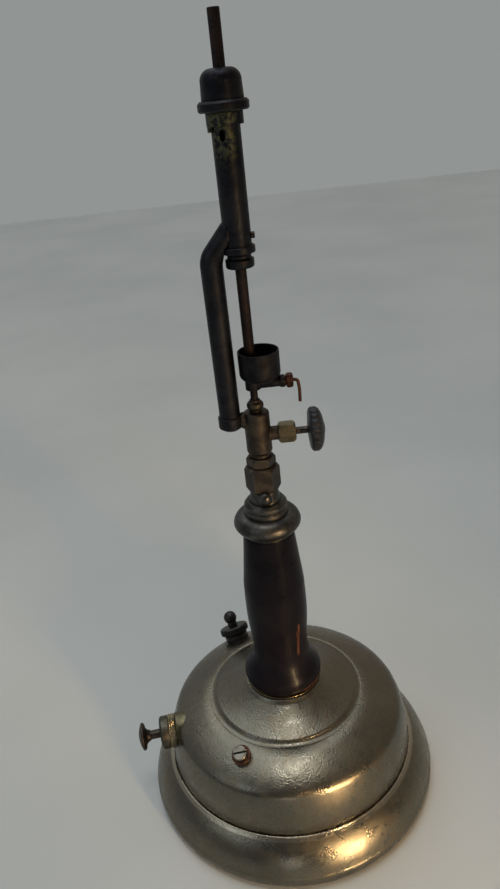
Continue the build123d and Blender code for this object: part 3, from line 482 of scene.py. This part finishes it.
class Finish:
    """A material's nodes, with short calls for the ones used here."""

    def __init__(self, name):
        self.material = bpy.data.materials.new(name)
        self.material.use_nodes = True
        self.tree = self.material.node_tree
        self.shader = self.tree.nodes["Principled BSDF"]
        self.where = self.node("ShaderNodeTexCoord").outputs["Object"]

    def node(self, kind, **settings):
        node = self.tree.nodes.new(kind)
        for name, value in settings.items():
            setattr(node, name, value)
        return node

    def feed(self, socket, value):
        if isinstance(value, bpy.types.NodeSocket):
            self.tree.links.new(value, socket)
        elif socket.type == "RGBA" and len(value) == 3:
            socket.default_value = (*value, 1)
        else:
            socket.default_value = value

    def math(self, operation, a, b=0.0):
        node = self.node("ShaderNodeMath", operation=operation)
        self.feed(node.inputs[0], a)
        self.feed(node.inputs[1], b)
        return node.outputs[0]

    def plus(self, a, b):
        return self.math("ADD", a, b)

    def minus(self, a, b):
        return self.math("SUBTRACT", a, b)

    def times(self, a, b):
        return self.math("MULTIPLY", a, b)

    def stretched(self, scale):
        node = self.node("ShaderNodeMapping")
        self.feed(node.inputs["Vector"], self.where)
        node.inputs["Scale"].default_value = scale
        return node.outputs[0]

    def noise(self, size, detail=3.0, rough=0.55, warp=0.0, where=None):
        node = self.node("ShaderNodeTexNoise")
        self.feed(node.inputs["Vector"], where or self.where)
        node.inputs["Scale"].default_value = 1 / size
        node.inputs["Detail"].default_value = detail
        node.inputs["Roughness"].default_value = rough
        node.inputs["Distortion"].default_value = warp
        return node.outputs["Fac"]

    def cells(self, size, feature="F1"):
        node = self.node("ShaderNodeTexVoronoi", feature=feature)
        self.feed(node.inputs["Vector"], self.where)
        node.inputs["Scale"].default_value = 1 / size
        return node.outputs["Distance"]

    def span(self, value, low, high, to_low=0.0, to_high=1.0):
        node = self.node("ShaderNodeMapRange")
        node.interpolation_type = "SMOOTHSTEP"
        for name, number in zip(("Value", "From Min", "From Max", "To Min", "To Max"),
                                (value, low, high, to_low, to_high)):
            self.feed(node.inputs[name], number)
        return node.outputs[0]

    def mix(self, share, a, b):
        node = self.node("ShaderNodeMix", data_type="RGBA")
        self.feed(node.inputs[0], share)
        self.feed(node.inputs[MIX_A], a)
        self.feed(node.inputs[MIX_B], b)
        return node.outputs[MIX_RESULT]

    def axis(self, letter, where=None):
        node = self.node("ShaderNodeSeparateXYZ")
        self.feed(node.inputs[0], where or self.where)
        return node.outputs[letter]

    def rubbed(self, low=0.52, high=0.58):
        """1 on the outer edges that hands and cloths rub, 0 elsewhere."""
        return self.span(self.node("ShaderNodeNewGeometry").outputs["Pointiness"], low, high)

    # A corner mask from ambient occlusion: painted shade on the metals, lighter dust on the black enamel
    def grime(self, distance):
        """1 deep in corners, 0 in the open."""
        node = self.node("ShaderNodeAmbientOcclusion")
        node.samples = 6
        node.inputs["Distance"].default_value = distance
        return self.span(node.outputs["AO"], OPEN_CORNER, DEEP_CORNER)

    def bump(self, height, strength, distance, normal=None):
        node = self.node("ShaderNodeBump")
        node.inputs["Strength"].default_value = strength
        node.inputs["Distance"].default_value = distance
        self.feed(node.inputs["Height"], height)
        if normal is not None:
            self.feed(node.inputs["Normal"], normal)
        return node.outputs[0]

    def done(self, colour, roughness, normal=None, **constants):
        self.feed(self.shader.inputs["Base Color"], colour)
        self.feed(self.shader.inputs["Roughness"], roughness)
        if normal is not None:
            self.feed(self.shader.inputs["Normal"], normal)
        for name, value in constants.items():
            self.feed(self.shader.inputs[name.replace("_", " ")], value)
        return self.material


# Near-black for random specks, and for the painted shade in corners
SOOT_AND_SHADE = (0.012, 0.011, 0.010)
# How far the painted shade in corners reaches
CORNER_SHADE_REACH = 2.5 * MM
SPECK_SIZE = 0.7 * MM
SCRATCH_SIZE = 0.5 * MM
METAL_RELIEF = 0.12 * MM


def aged_metal(name, dark, light, stain, bright, rough, patch, wear=0.7, pitted=0.25, patina=None):
    """Metal with blotched tarnish, painted shade in its corners which are also made rougher, rubbed edges
    and fine pits.
    patina names a colour and the two heights between which it blooms on the front left."""
    f = Finish(name)
    cloud = f.noise(patch, 5, 0.6, 0.6)
    mottle = f.noise(patch / 7, 5, 0.62, 0.4)
    speck = f.noise(SPECK_SIZE, 3, 0.6)
    colour = f.mix(f.span(cloud, 0.36, 0.64), dark, light)
    colour = f.mix(f.span(mottle, 0.5, 0.72, 0, 0.75), colour, stain)
    colour = f.mix(f.span(speck, 0.58, 0.72, 0, 0.35), colour, SOOT_AND_SHADE)
    if patina:
        bloom, low, high = patina
        height = f.axis("Z")
        front = f.span(f.plus(f.axis("Y"), f.times(f.axis("X"), 0.6)), -2 * MM, -6 * MM)
        reach = f.times(f.span(height, low, low + 14 * MM), f.span(height, high, high - 3 * MM))
        share = f.times(f.times(front, reach), f.span(mottle, 0.42, 0.58, 0, 0.85))
        colour = f.mix(share, colour, bloom)
    edge = f.times(f.rubbed(), f.span(mottle, 0.3, 0.6, 0.35, 1.0))
    colour = f.mix(f.times(edge, wear), colour, bright)
    # Painted shade: ambient occlusion darkens the colour toward near-black in corners; the same mask also
    # raises roughness
    shade_and_dirt = f.times(f.grime(CORNER_SHADE_REACH), f.span(mottle, 0.25, 0.6, 0.5, 1.0))
    colour = f.mix(f.times(shade_and_dirt, 0.8), colour, SOOT_AND_SHADE)
    roughness = f.span(mottle, 0.3, 0.7, rough[0], rough[1])
    roughness = f.plus(roughness, f.times(shade_and_dirt, 0.25))
    roughness = f.minus(roughness, f.times(edge, 0.12))
    scratches = f.noise(SCRATCH_SIZE, 2, 0.5, 0, f.stretched((1, 1, 0.05)))
    relief = f.plus(f.times(speck, 0.7), f.times(scratches, 0.3))
    relief = f.plus(relief, f.times(mottle, 0.6))
    return f.done(colour, roughness, f.bump(relief, pitted, METAL_RELIEF), Metallic=1.0)


# The bead where the foot meets the tank is rubbed bright between these heights
BEAD_FOOT = (0.0282, 0.0292)
BEAD_TOP = (0.0311, 0.0308)


def nickel_finish():
    """Dull nickel plate: smoky, finely pebbled on the top faces, with brass showing warm in places."""
    smoky, plate, brassy = (0.160, 0.149, 0.119), (0.215, 0.194, 0.148), (0.165, 0.130, 0.085)
    rubbed_bright, bead_bright = (0.42, 0.36, 0.26), (0.50, 0.44, 0.34)
    pit_dirt, painted_corner_shade = (0.062, 0.055, 0.042), (0.05, 0.04, 0.028)
    f = Finish("nickel")
    height = f.axis("Z")
    cloud = f.noise(60 * MM, 4, 0.55, 0.5)
    mottle = f.noise(9 * MM, 6, 0.62, 0.3)
    pebble = f.cells(0.9 * MM, "SMOOTH_F1")
    grain = f.noise(0.45 * MM, 2, 0.5)
    colour = f.mix(f.span(cloud, 0.30, 0.70), smoky, plate)
    colour = f.mix(f.span(mottle, 0.46, 0.72, 0, 0.6), colour, brassy)
    colour = f.mix(f.span(pebble, 0.45, 0.75, 0, 0.30), colour, pit_dirt)
    edge = f.times(f.rubbed(0.51, 0.56), 0.18)
    colour = f.mix(edge, colour, rubbed_bright)
    bead = f.times(f.span(height, *BEAD_FOOT), f.span(height, *BEAD_TOP))
    # Painted shade: ambient occlusion darkens the plate in corners, less on the bead; the same mask also
    # raises roughness
    shade_off_bead = f.minus(1.0, f.times(bead, 0.8))
    shade_and_dirt = f.times(f.grime(5 * MM), shade_off_bead)
    colour = f.mix(f.times(shade_and_dirt, 0.7), colour, painted_corner_shade)
    colour = f.mix(f.times(bead, 0.75), colour, bead_bright)
    roughness = f.minus(f.span(mottle, 0.3, 0.7, 0.24, 0.36), f.times(bead, 0.08))
    roughness = f.plus(roughness, f.times(shade_and_dirt, 0.2))
    facing = f.node("ShaderNodeNewGeometry").outputs["Normal"]
    level = f.span(f.axis("Z", facing), 0.20, 0.75, 0.30, 1.0)
    patchy = f.span(f.noise(34 * MM, 3, 0.5), 0.36, 0.60, 0.45, 1.0)
    relief = f.plus(f.times(f.times(pebble, level), patchy), f.times(grain, 0.10))
    wide = f.bump(mottle, 0.10, 1.4 * MM)
    return f.done(colour, roughness, f.bump(relief, 0.9, 0.16 * MM, wide), Metallic=1.0)


# A worn strip runs down the grip's front right, and an arc of bare wood shows at its foot, between
# these heights
STRIP_TURN, FOOT_TURN = radians(-52), radians(-42)
STRIP_FOOT, STRIP_TOP = (0.098, 0.116), (0.158, 0.132)
ARC_FOOT, ARC_TOP = (0.0858, 0.0872), (0.0915, 0.0885)
CHIPS_TOP, CHIPS_FOOT = 0.150, 0.095


def lacquered_wood():
    """Black lacquer over turned wood: glossy, scratched, and worn to the wood in two places."""
    wood_dark, wood_light = (0.050, 0.018, 0.012), (0.150, 0.060, 0.034)
    black_deep, black_worn = (0.0055, 0.0050, 0.0080), (0.0100, 0.0090, 0.0125)
    f = Finish("lacquered_wood")
    x, y, z = f.axis("X"), f.axis("Y"), f.axis("Z")
    grain = f.noise(1.6 * MM, 5, 0.65, 0.8, f.stretched((1, 1, 0.06)))
    wood = f.mix(f.span(grain, 0.35, 0.65), wood_dark, wood_light)
    cloud = f.noise(22 * MM, 4, 0.6)
    black = f.mix(f.span(cloud, 0.35, 0.65), black_deep, black_worn)
    ragged = f.noise(3.2 * MM, 6, 0.7, 0.3, f.stretched((1, 1, 0.22)))
    turn_at = f.math("ARCTAN2", y, x)
    strip = f.times(f.span(f.math("ABSOLUTE", f.minus(turn_at, STRIP_TURN)), 0.20, 0.0),
                    f.times(f.span(z, *STRIP_FOOT), f.span(z, *STRIP_TOP)))
    foot = f.times(f.span(f.math("ABSOLUTE", f.minus(turn_at, FOOT_TURN)), 0.60, 0.20),
                   f.times(f.span(z, *ARC_FOOT), f.span(z, *ARC_TOP)))
    worn = f.math("MAXIMUM", f.times(strip, 0.62), foot)
    chips = f.span(ragged, 0.70, 0.73)
    bare = f.span(f.plus(worn, f.times(ragged, 1.3)), 1.12, 1.30)
    bare = f.math("MAXIMUM", bare, f.times(chips, f.span(z, CHIPS_TOP, CHIPS_FOOT, 0.0, 0.8)))
    colour = f.mix(bare, black, wood)
    fine = f.noise(0.6 * MM, 3, 0.6, 0, f.stretched((1, 1, 0.12)))
    roughness = f.plus(f.span(cloud, 0.3, 0.7, 0.26, 0.38), f.times(bare, 0.30))
    relief = f.minus(f.times(fine, 0.25), bare)
    wave = f.bump(cloud, 0.15, 1.0 * MM)
    return f.done(colour, roughness, f.bump(relief, 0.35, 0.15 * MM, wave), Specular_IOR_Level=0.06,
                  Coat_Weight=0.02, Coat_Roughness=0.12)


def black_enamel():
    """Chipped black paint over cast metal, dusty in its grooves."""
    paint_dark, paint_light = (0.010, 0.011, 0.015), (0.022, 0.024, 0.030)
    bare_metal, dust_colour = (0.16, 0.125, 0.085), (0.040, 0.036, 0.032)
    f = Finish("black_enamel")
    cloud = f.noise(7 * MM, 5, 0.6)
    fine = f.noise(0.8 * MM, 4, 0.65)
    paint = f.mix(f.span(cloud, 0.35, 0.65), paint_dark, paint_light)
    chips = f.times(f.rubbed(0.53, 0.60), f.span(fine, 0.52, 0.60))
    colour = f.mix(chips, paint, bare_metal)
    dust = f.times(f.grime(2 * MM), f.span(cloud, 0.3, 0.6, 0.1, 0.35))
    colour = f.mix(dust, colour, dust_colour)
    roughness = f.plus(f.span(cloud, 0.3, 0.7, 0.38, 0.52), f.times(dust, 0.3))
    relief = f.minus(f.times(fine, 0.4), chips)
    return f.done(colour, roughness, f.bump(relief, 0.3, 0.1 * MM), Specular_IOR_Level=0.30)


def leather_finish():
    dark, light = (0.07, 0.035, 0.018), (0.16, 0.085, 0.045)
    f = Finish("leather")
    pores = f.cells(0.5 * MM)
    cloud = f.noise(5 * MM, 4, 0.6)
    colour = f.mix(f.span(cloud, 0.35, 0.65), dark, light)
    return f.done(colour, f.span(pores, 0.1, 0.6, 0.45, 0.7), f.bump(pores, 0.4, 0.08 * MM))


def cord_finish():
    dark, light = (0.05, 0.048, 0.045), (0.22, 0.21, 0.19)
    f = Finish("packing_cord")
    strands = f.noise(0.4 * MM, 3, 0.6, 0.8)
    colour = f.mix(f.span(strands, 0.35, 0.65), dark, light)
    return f.done(colour, 0.8, f.bump(strands, 0.5, 0.1 * MM))


def gauze_finish():
    wire, gap = (0.20, 0.165, 0.10), (0.015, 0.013, 0.010)
    f = Finish("wire_gauze")
    weave = f.times(f.cells(0.45 * MM), 1.6)
    colour = f.mix(f.span(weave, 0.35, 0.75), wire, gap)
    return f.done(colour, 0.45, f.bump(weave, 0.8, 0.12 * MM), Metallic=1.0)


METALS = {
    "bronze": dict(
        dark=(0.048, 0.048, 0.047), light=(0.105, 0.102, 0.094),
        stain=(0.060, 0.044, 0.032), bright=(0.36, 0.34, 0.29),
        rough=(0.32, 0.52), patch=12 * MM),
    "valve_brass": dict(
        dark=(0.040, 0.035, 0.031), light=(0.078, 0.064, 0.049),
        stain=(0.085, 0.052, 0.034), bright=(0.24, 0.20, 0.14),
        rough=(0.40, 0.60), patch=8 * MM),
    "bright_brass": dict(
        dark=(0.16, 0.138, 0.088), light=(0.26, 0.220, 0.138),
        stain=(0.12, 0.086, 0.045), bright=(0.50, 0.42, 0.27),
        rough=(0.32, 0.50), patch=7 * MM),
    "plain_brass": dict(
        dark=(0.24, 0.19, 0.11), light=(0.37, 0.30, 0.17),
        stain=(0.16, 0.115, 0.06), bright=(0.58, 0.49, 0.30),
        rough=(0.28, 0.42), patch=12 * MM),
    "steel": dict(
        dark=(0.045, 0.038, 0.034), light=(0.085, 0.073, 0.064),
        stain=(0.070, 0.040, 0.028), bright=(0.28, 0.26, 0.23),
        rough=(0.36, 0.55), patch=7 * MM),
    "pump_handle": dict(
        dark=(0.038, 0.034, 0.032), light=(0.075, 0.062, 0.050),
        stain=(0.070, 0.045, 0.028), bright=(0.30, 0.24, 0.16),
        rough=(0.36, 0.54), patch=7 * MM),
    "sooted_brass": dict(
        dark=(0.017, 0.018, 0.023), light=(0.031, 0.032, 0.036),
        stain=(0.050, 0.034, 0.028), bright=(0.11, 0.10, 0.075),
        rough=(0.38, 0.58), patch=15 * MM, wear=0.45, patina=((0.140, 0.136, 0.074), 0.415, 0.4425)),
    "cup_metal": dict(
        dark=(0.014, 0.014, 0.017), light=(0.028, 0.028, 0.030),
        stain=(0.040, 0.029, 0.024), bright=(0.09, 0.085, 0.075),
        rough=(0.44, 0.64), patch=8 * MM, wear=0.45),
    "copper": dict(
        dark=(0.060, 0.030, 0.022), light=(0.12, 0.053, 0.034),
        stain=(0.036, 0.024, 0.020), bright=(0.26, 0.13, 0.08),
        rough=(0.40, 0.60), patch=4 * MM),
    "rusty_iron": dict(
        dark=(0.024, 0.020, 0.021), light=(0.043, 0.032, 0.029),
        stain=(0.060, 0.033, 0.024), bright=(0.11, 0.085, 0.072),
        rough=(0.50, 0.72), patch=9 * MM, wear=0.4, pitted=0.5),
    "gunmetal": dict(
        dark=(0.040, 0.041, 0.040), light=(0.082, 0.080, 0.073),
        stain=(0.050, 0.038, 0.028), bright=(0.30, 0.28, 0.23),
        rough=(0.36, 0.54), patch=7 * MM),
    "pump_boss": dict(
        dark=(0.090, 0.082, 0.052), light=(0.165, 0.150, 0.092),
        stain=(0.085, 0.062, 0.036), bright=(0.44, 0.38, 0.25),
        rough=(0.32, 0.50), patch=6 * MM),
    "pump_cap": dict(
        dark=(0.060, 0.059, 0.048), light=(0.110, 0.104, 0.080),
        stain=(0.070, 0.052, 0.034), bright=(0.34, 0.30, 0.21),
        rough=(0.34, 0.54), patch=6 * MM),
    "plug_metal": dict(
        dark=(0.14, 0.130, 0.112), light=(0.27, 0.245, 0.205),
        stain=(0.16, 0.105, 0.062), bright=(0.56, 0.46, 0.32),
        rough=(0.28, 0.42), patch=4 * MM),
}

finishes = {
    "nickel": nickel_finish(),
    "black_wood": lacquered_wood(),
    "black_enamel": black_enamel(),
    "leather": leather_finish(),
    "packing_cord": cord_finish(),
    "wire_gauze": gauze_finish(),
}
for name, look in METALS.items():
    finishes[name] = aged_metal(name, **look)


# ---------------------------------------------------------------- pieces

for node in ("grip_washer", "collar_lip", "seat_ring", "lock_ring", "generator_nut", "generator_stub",
             "generator_tube", "burner_bush", "burner_flange"):
    turned(node)
turned("foot_skirt", sides=240, edge=0.5 * MM)

# The pump goes through the shell, which a turned shape doesn't have a hole for
shell = turned("tank_shell", sides=240, edge=0.5 * MM)
boss_reach = crest_angle("pump_boss", pump_line)[1]
bored(shell, pump_line, radius=boss_reach - 0.3 * MM, start=60 * MM, end=100 * MM)

turned("grip", sides=144, edge=0.8 * MM)
turned("collar", sides=144, edge=0.6 * MM)
turned("burner_bell", sides=120, edge=0.4 * MM)
turned("jet_housing", jet_line, edge=0.5 * MM, angle=pi / 2)
turned("priming_cup", cup_line, sides=120, edge=0.4 * MM, angle=pi / 2)
turned("socket_screw", screw_line, sides=64, edge=0.3 * MM)

for node, where in (("union_nut", upright), ("gland_nut", upright), ("packing_nut", valve_line),
                    ("handwheel_nut", valve_line), ("drain_gland", bracket_line)):
    nut(node, where)

turned("valve_spindle", valve_line, sides=48)
for node in ("pump_boss", "pump_cap", "pump_rod", "pump_knob"):
    turned(node, pump_line, edge=0.4 * MM)
for node in ("filler_boss", "filler_gasket", "filler_stem", "vent_stem", "vent_knob"):
    turned(node, filler_line, sides=72, edge=0.3 * MM)
for node in ("plug_boss", "plug_washer"):
    turned(node, plug_line, sides=72)

rimmed("handwheel", valve_line, grooves=18, points_each=16, edge=0.5 * MM, longest=0.8 * MM,
       shape=fluted_shape, depth=0.8 * MM, sharp=0.7)
rimmed("pump_ring", pump_line, grooves=60, points_each=10, edge=0.3 * MM, longest=0.16 * MM,
       shape=knurled_shape, depth=0.45 * MM, pitch=2.4 * MM)
rimmed("filler_disc", filler_line, grooves=54, points_each=10, edge=0.35 * MM, longest=0.5 * MM,
       shape=fluted_shape, depth=0.4 * MM, sharp=0.8)

# The voxel of each casting's remesh, and how often it is smoothed
CASTINGS = {
    "valve_body": (0.28 * MM, 8),
    "cup_bracket": (0.24 * MM, 8),
    "stem_socket": (0.26 * MM, 5),
    "mixing_tube": (0.36 * MM, 6),
    "burner_tube": (0.36 * MM, 4),
    "gallery_clip": (0.22 * MM, 3),
    "bush_screw": (0.12 * MM, 4),
    "drain_lever": (0.16 * MM, 4),
    "level_plug": (0.14 * MM, 3),
}
for node, (voxel, steps) in CASTINGS.items():
    cast(node, voxel, steps)

# A finish named after a piece comes before the one of its slot
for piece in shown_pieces():
    slot = piece.get("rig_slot") or slot_of[piece["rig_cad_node"]]
    piece.data.materials.clear()
    piece.data.materials.append(finishes.get(piece.name.replace("_turned", ""), finishes[slot]))


# ---------------------------------------------------------------- stage, light and camera

FLOOR_HALF = 3.0


def stage_finish():
    shade, light = (0.50, 0.52, 0.51), (0.56, 0.575, 0.565)
    f = Finish("stage")
    cloud = f.noise(0.35, 4, 0.5)
    colour = f.mix(f.span(cloud, 0.3, 0.7), shade, light)
    return f.done(colour, 0.55)


corners = [(x * FLOOR_HALF, y * FLOOR_HALF, 0) for x, y in ((-1, -1), (1, -1), (1, 1), (-1, 1))]
floor = piece_from("floor", corners, [(0, 1, 2, 3)])
floor.data.materials.append(stage_finish())


def softbox(name, spot, aim, width, height, watts, colour, spread=180):
    light = bpy.data.lights.new(name, "AREA")
    light.shape = "RECTANGLE"
    light.size = width
    light.size_y = height
    light.energy = watts
    light.spread = radians(spread)
    light.color = colour
    lamp = bpy.data.objects.new(name, light)
    lamp.location = spot
    lamp.rotation_euler = (Vector(aim) - Vector(spot)).to_track_quat("-Z", "Y").to_euler()
    bpy.context.scene.collection.objects.link(lamp)


tank_middle = (0, 0, 0.06)
grip_top = (0, 0, 0.2)
softbox("window", (-1.3, -0.9, 1.2), grip_top, width=0.9, height=0.9, watts=2.2, colour=(0.80, 0.92, 1.0))
softbox("warm_lamp", (0.54, -0.88, 0.20), tank_middle, width=0.07, height=0.36, watts=0.48,
        colour=(1.0, 0.68, 0.36), spread=34)
softbox("ceiling_lamp", (0.02, -0.25, 1.8), tank_middle, width=0.34, height=0.20, watts=3.2,
        colour=(1.0, 0.98, 0.94))
softbox("camera_lamp", (-0.10, -0.80, 0.10), tank_middle, width=0.03, height=0.03, watts=0.12,
        colour=(1.0, 0.98, 0.95))

sky_spot = Vector((-0.18, 0.30, 1))
sky = bpy.data.lights.new("overhead", "SUN")
sky.energy = 0.88
sky.angle = radians(55)
sky.color = (0.90, 0.97, 1.0)
overhead = bpy.data.objects.new("overhead", sky)
overhead.rotation_euler = sky_spot.to_track_quat("Z", "Y").to_euler()
bpy.context.scene.collection.objects.link(overhead)

ROOM_LEFT = (0.50, 0.52, 0.53, 1)
ROOM_RIGHT = (0.50, 0.44, 0.37, 1)
BACKDROP = (0.285, 0.30, 0.295, 1)
LEFT_TO_RIGHT = (-0.4, 0.5, 0.0, 1.0)
FRONT_TO_BACK = (-0.7, 0.7, 0.20, 0.60)

world = bpy.data.worlds.new("room")
world.use_nodes = True
bpy.context.scene.world = world
links = world.node_tree.links
add = world.node_tree.nodes.new
room = world.node_tree.nodes["Background"]
seen = add("ShaderNodeBackground")
seen.inputs["Color"].default_value = BACKDROP
either = add("ShaderNodeMixShader")
rays = add("ShaderNodeLightPath")
sides = add("ShaderNodeSeparateXYZ")
towards = add("ShaderNodeTexCoord")
across = add("ShaderNodeMapRange")
depth = add("ShaderNodeMapRange")
tint = add("ShaderNodeMix")
tint.data_type = "RGBA"
tint.inputs[MIX_A].default_value = ROOM_LEFT
tint.inputs[MIX_B].default_value = ROOM_RIGHT
# The room is lighter behind the burner and warmer on its right
for span, numbers in ((across, LEFT_TO_RIGHT), (depth, FRONT_TO_BACK)):
    for name, value in zip(("From Min", "From Max", "To Min", "To Max"), numbers):
        span.inputs[name].default_value = value
links.new(towards.outputs["Generated"], sides.inputs[0])
links.new(sides.outputs["X"], across.inputs["Value"])
links.new(sides.outputs["Y"], depth.inputs["Value"])
links.new(across.outputs[0], tint.inputs[0])
links.new(tint.outputs[MIX_RESULT], room.inputs["Color"])
links.new(depth.outputs[0], room.inputs["Strength"])
links.new(rays.outputs["Is Camera Ray"], either.inputs[0])
links.new(room.outputs[0], either.inputs[1])
links.new(seen.outputs[0], either.inputs[2])
links.new(either.outputs[0], world.node_tree.nodes["World Output"].inputs["Surface"])

camera_spot = Vector((0, -0.377, 0.4516))
camera_pitch = radians(26.5)
camera_yaw = radians(-0.83)
camera_roll = radians(-6.455)
forward = Vector((sin(camera_yaw) * cos(camera_pitch), cos(camera_yaw) * cos(camera_pitch),
                  -sin(camera_pitch)))
level_right = Vector((cos(camera_yaw), -sin(camera_yaw), 0))
level_up = level_right.cross(forward)
right = cos(camera_roll) * level_right + sin(camera_roll) * level_up
up = -sin(camera_roll) * level_right + cos(camera_roll) * level_up

camera = bpy.data.objects.new("camera", bpy.data.cameras.new("camera"))
camera.data.lens = 29.16
camera.data.sensor_width = 36.0
camera.data.clip_start = 0.01
camera.matrix_world = Matrix.Translation(camera_spot) @ Matrix((right, up, -forward)).transposed().to_4x4()
bpy.context.scene.collection.objects.link(camera)
bpy.context.scene.camera = camera
bpy.context.scene.view_settings.view_transform = "Standard"
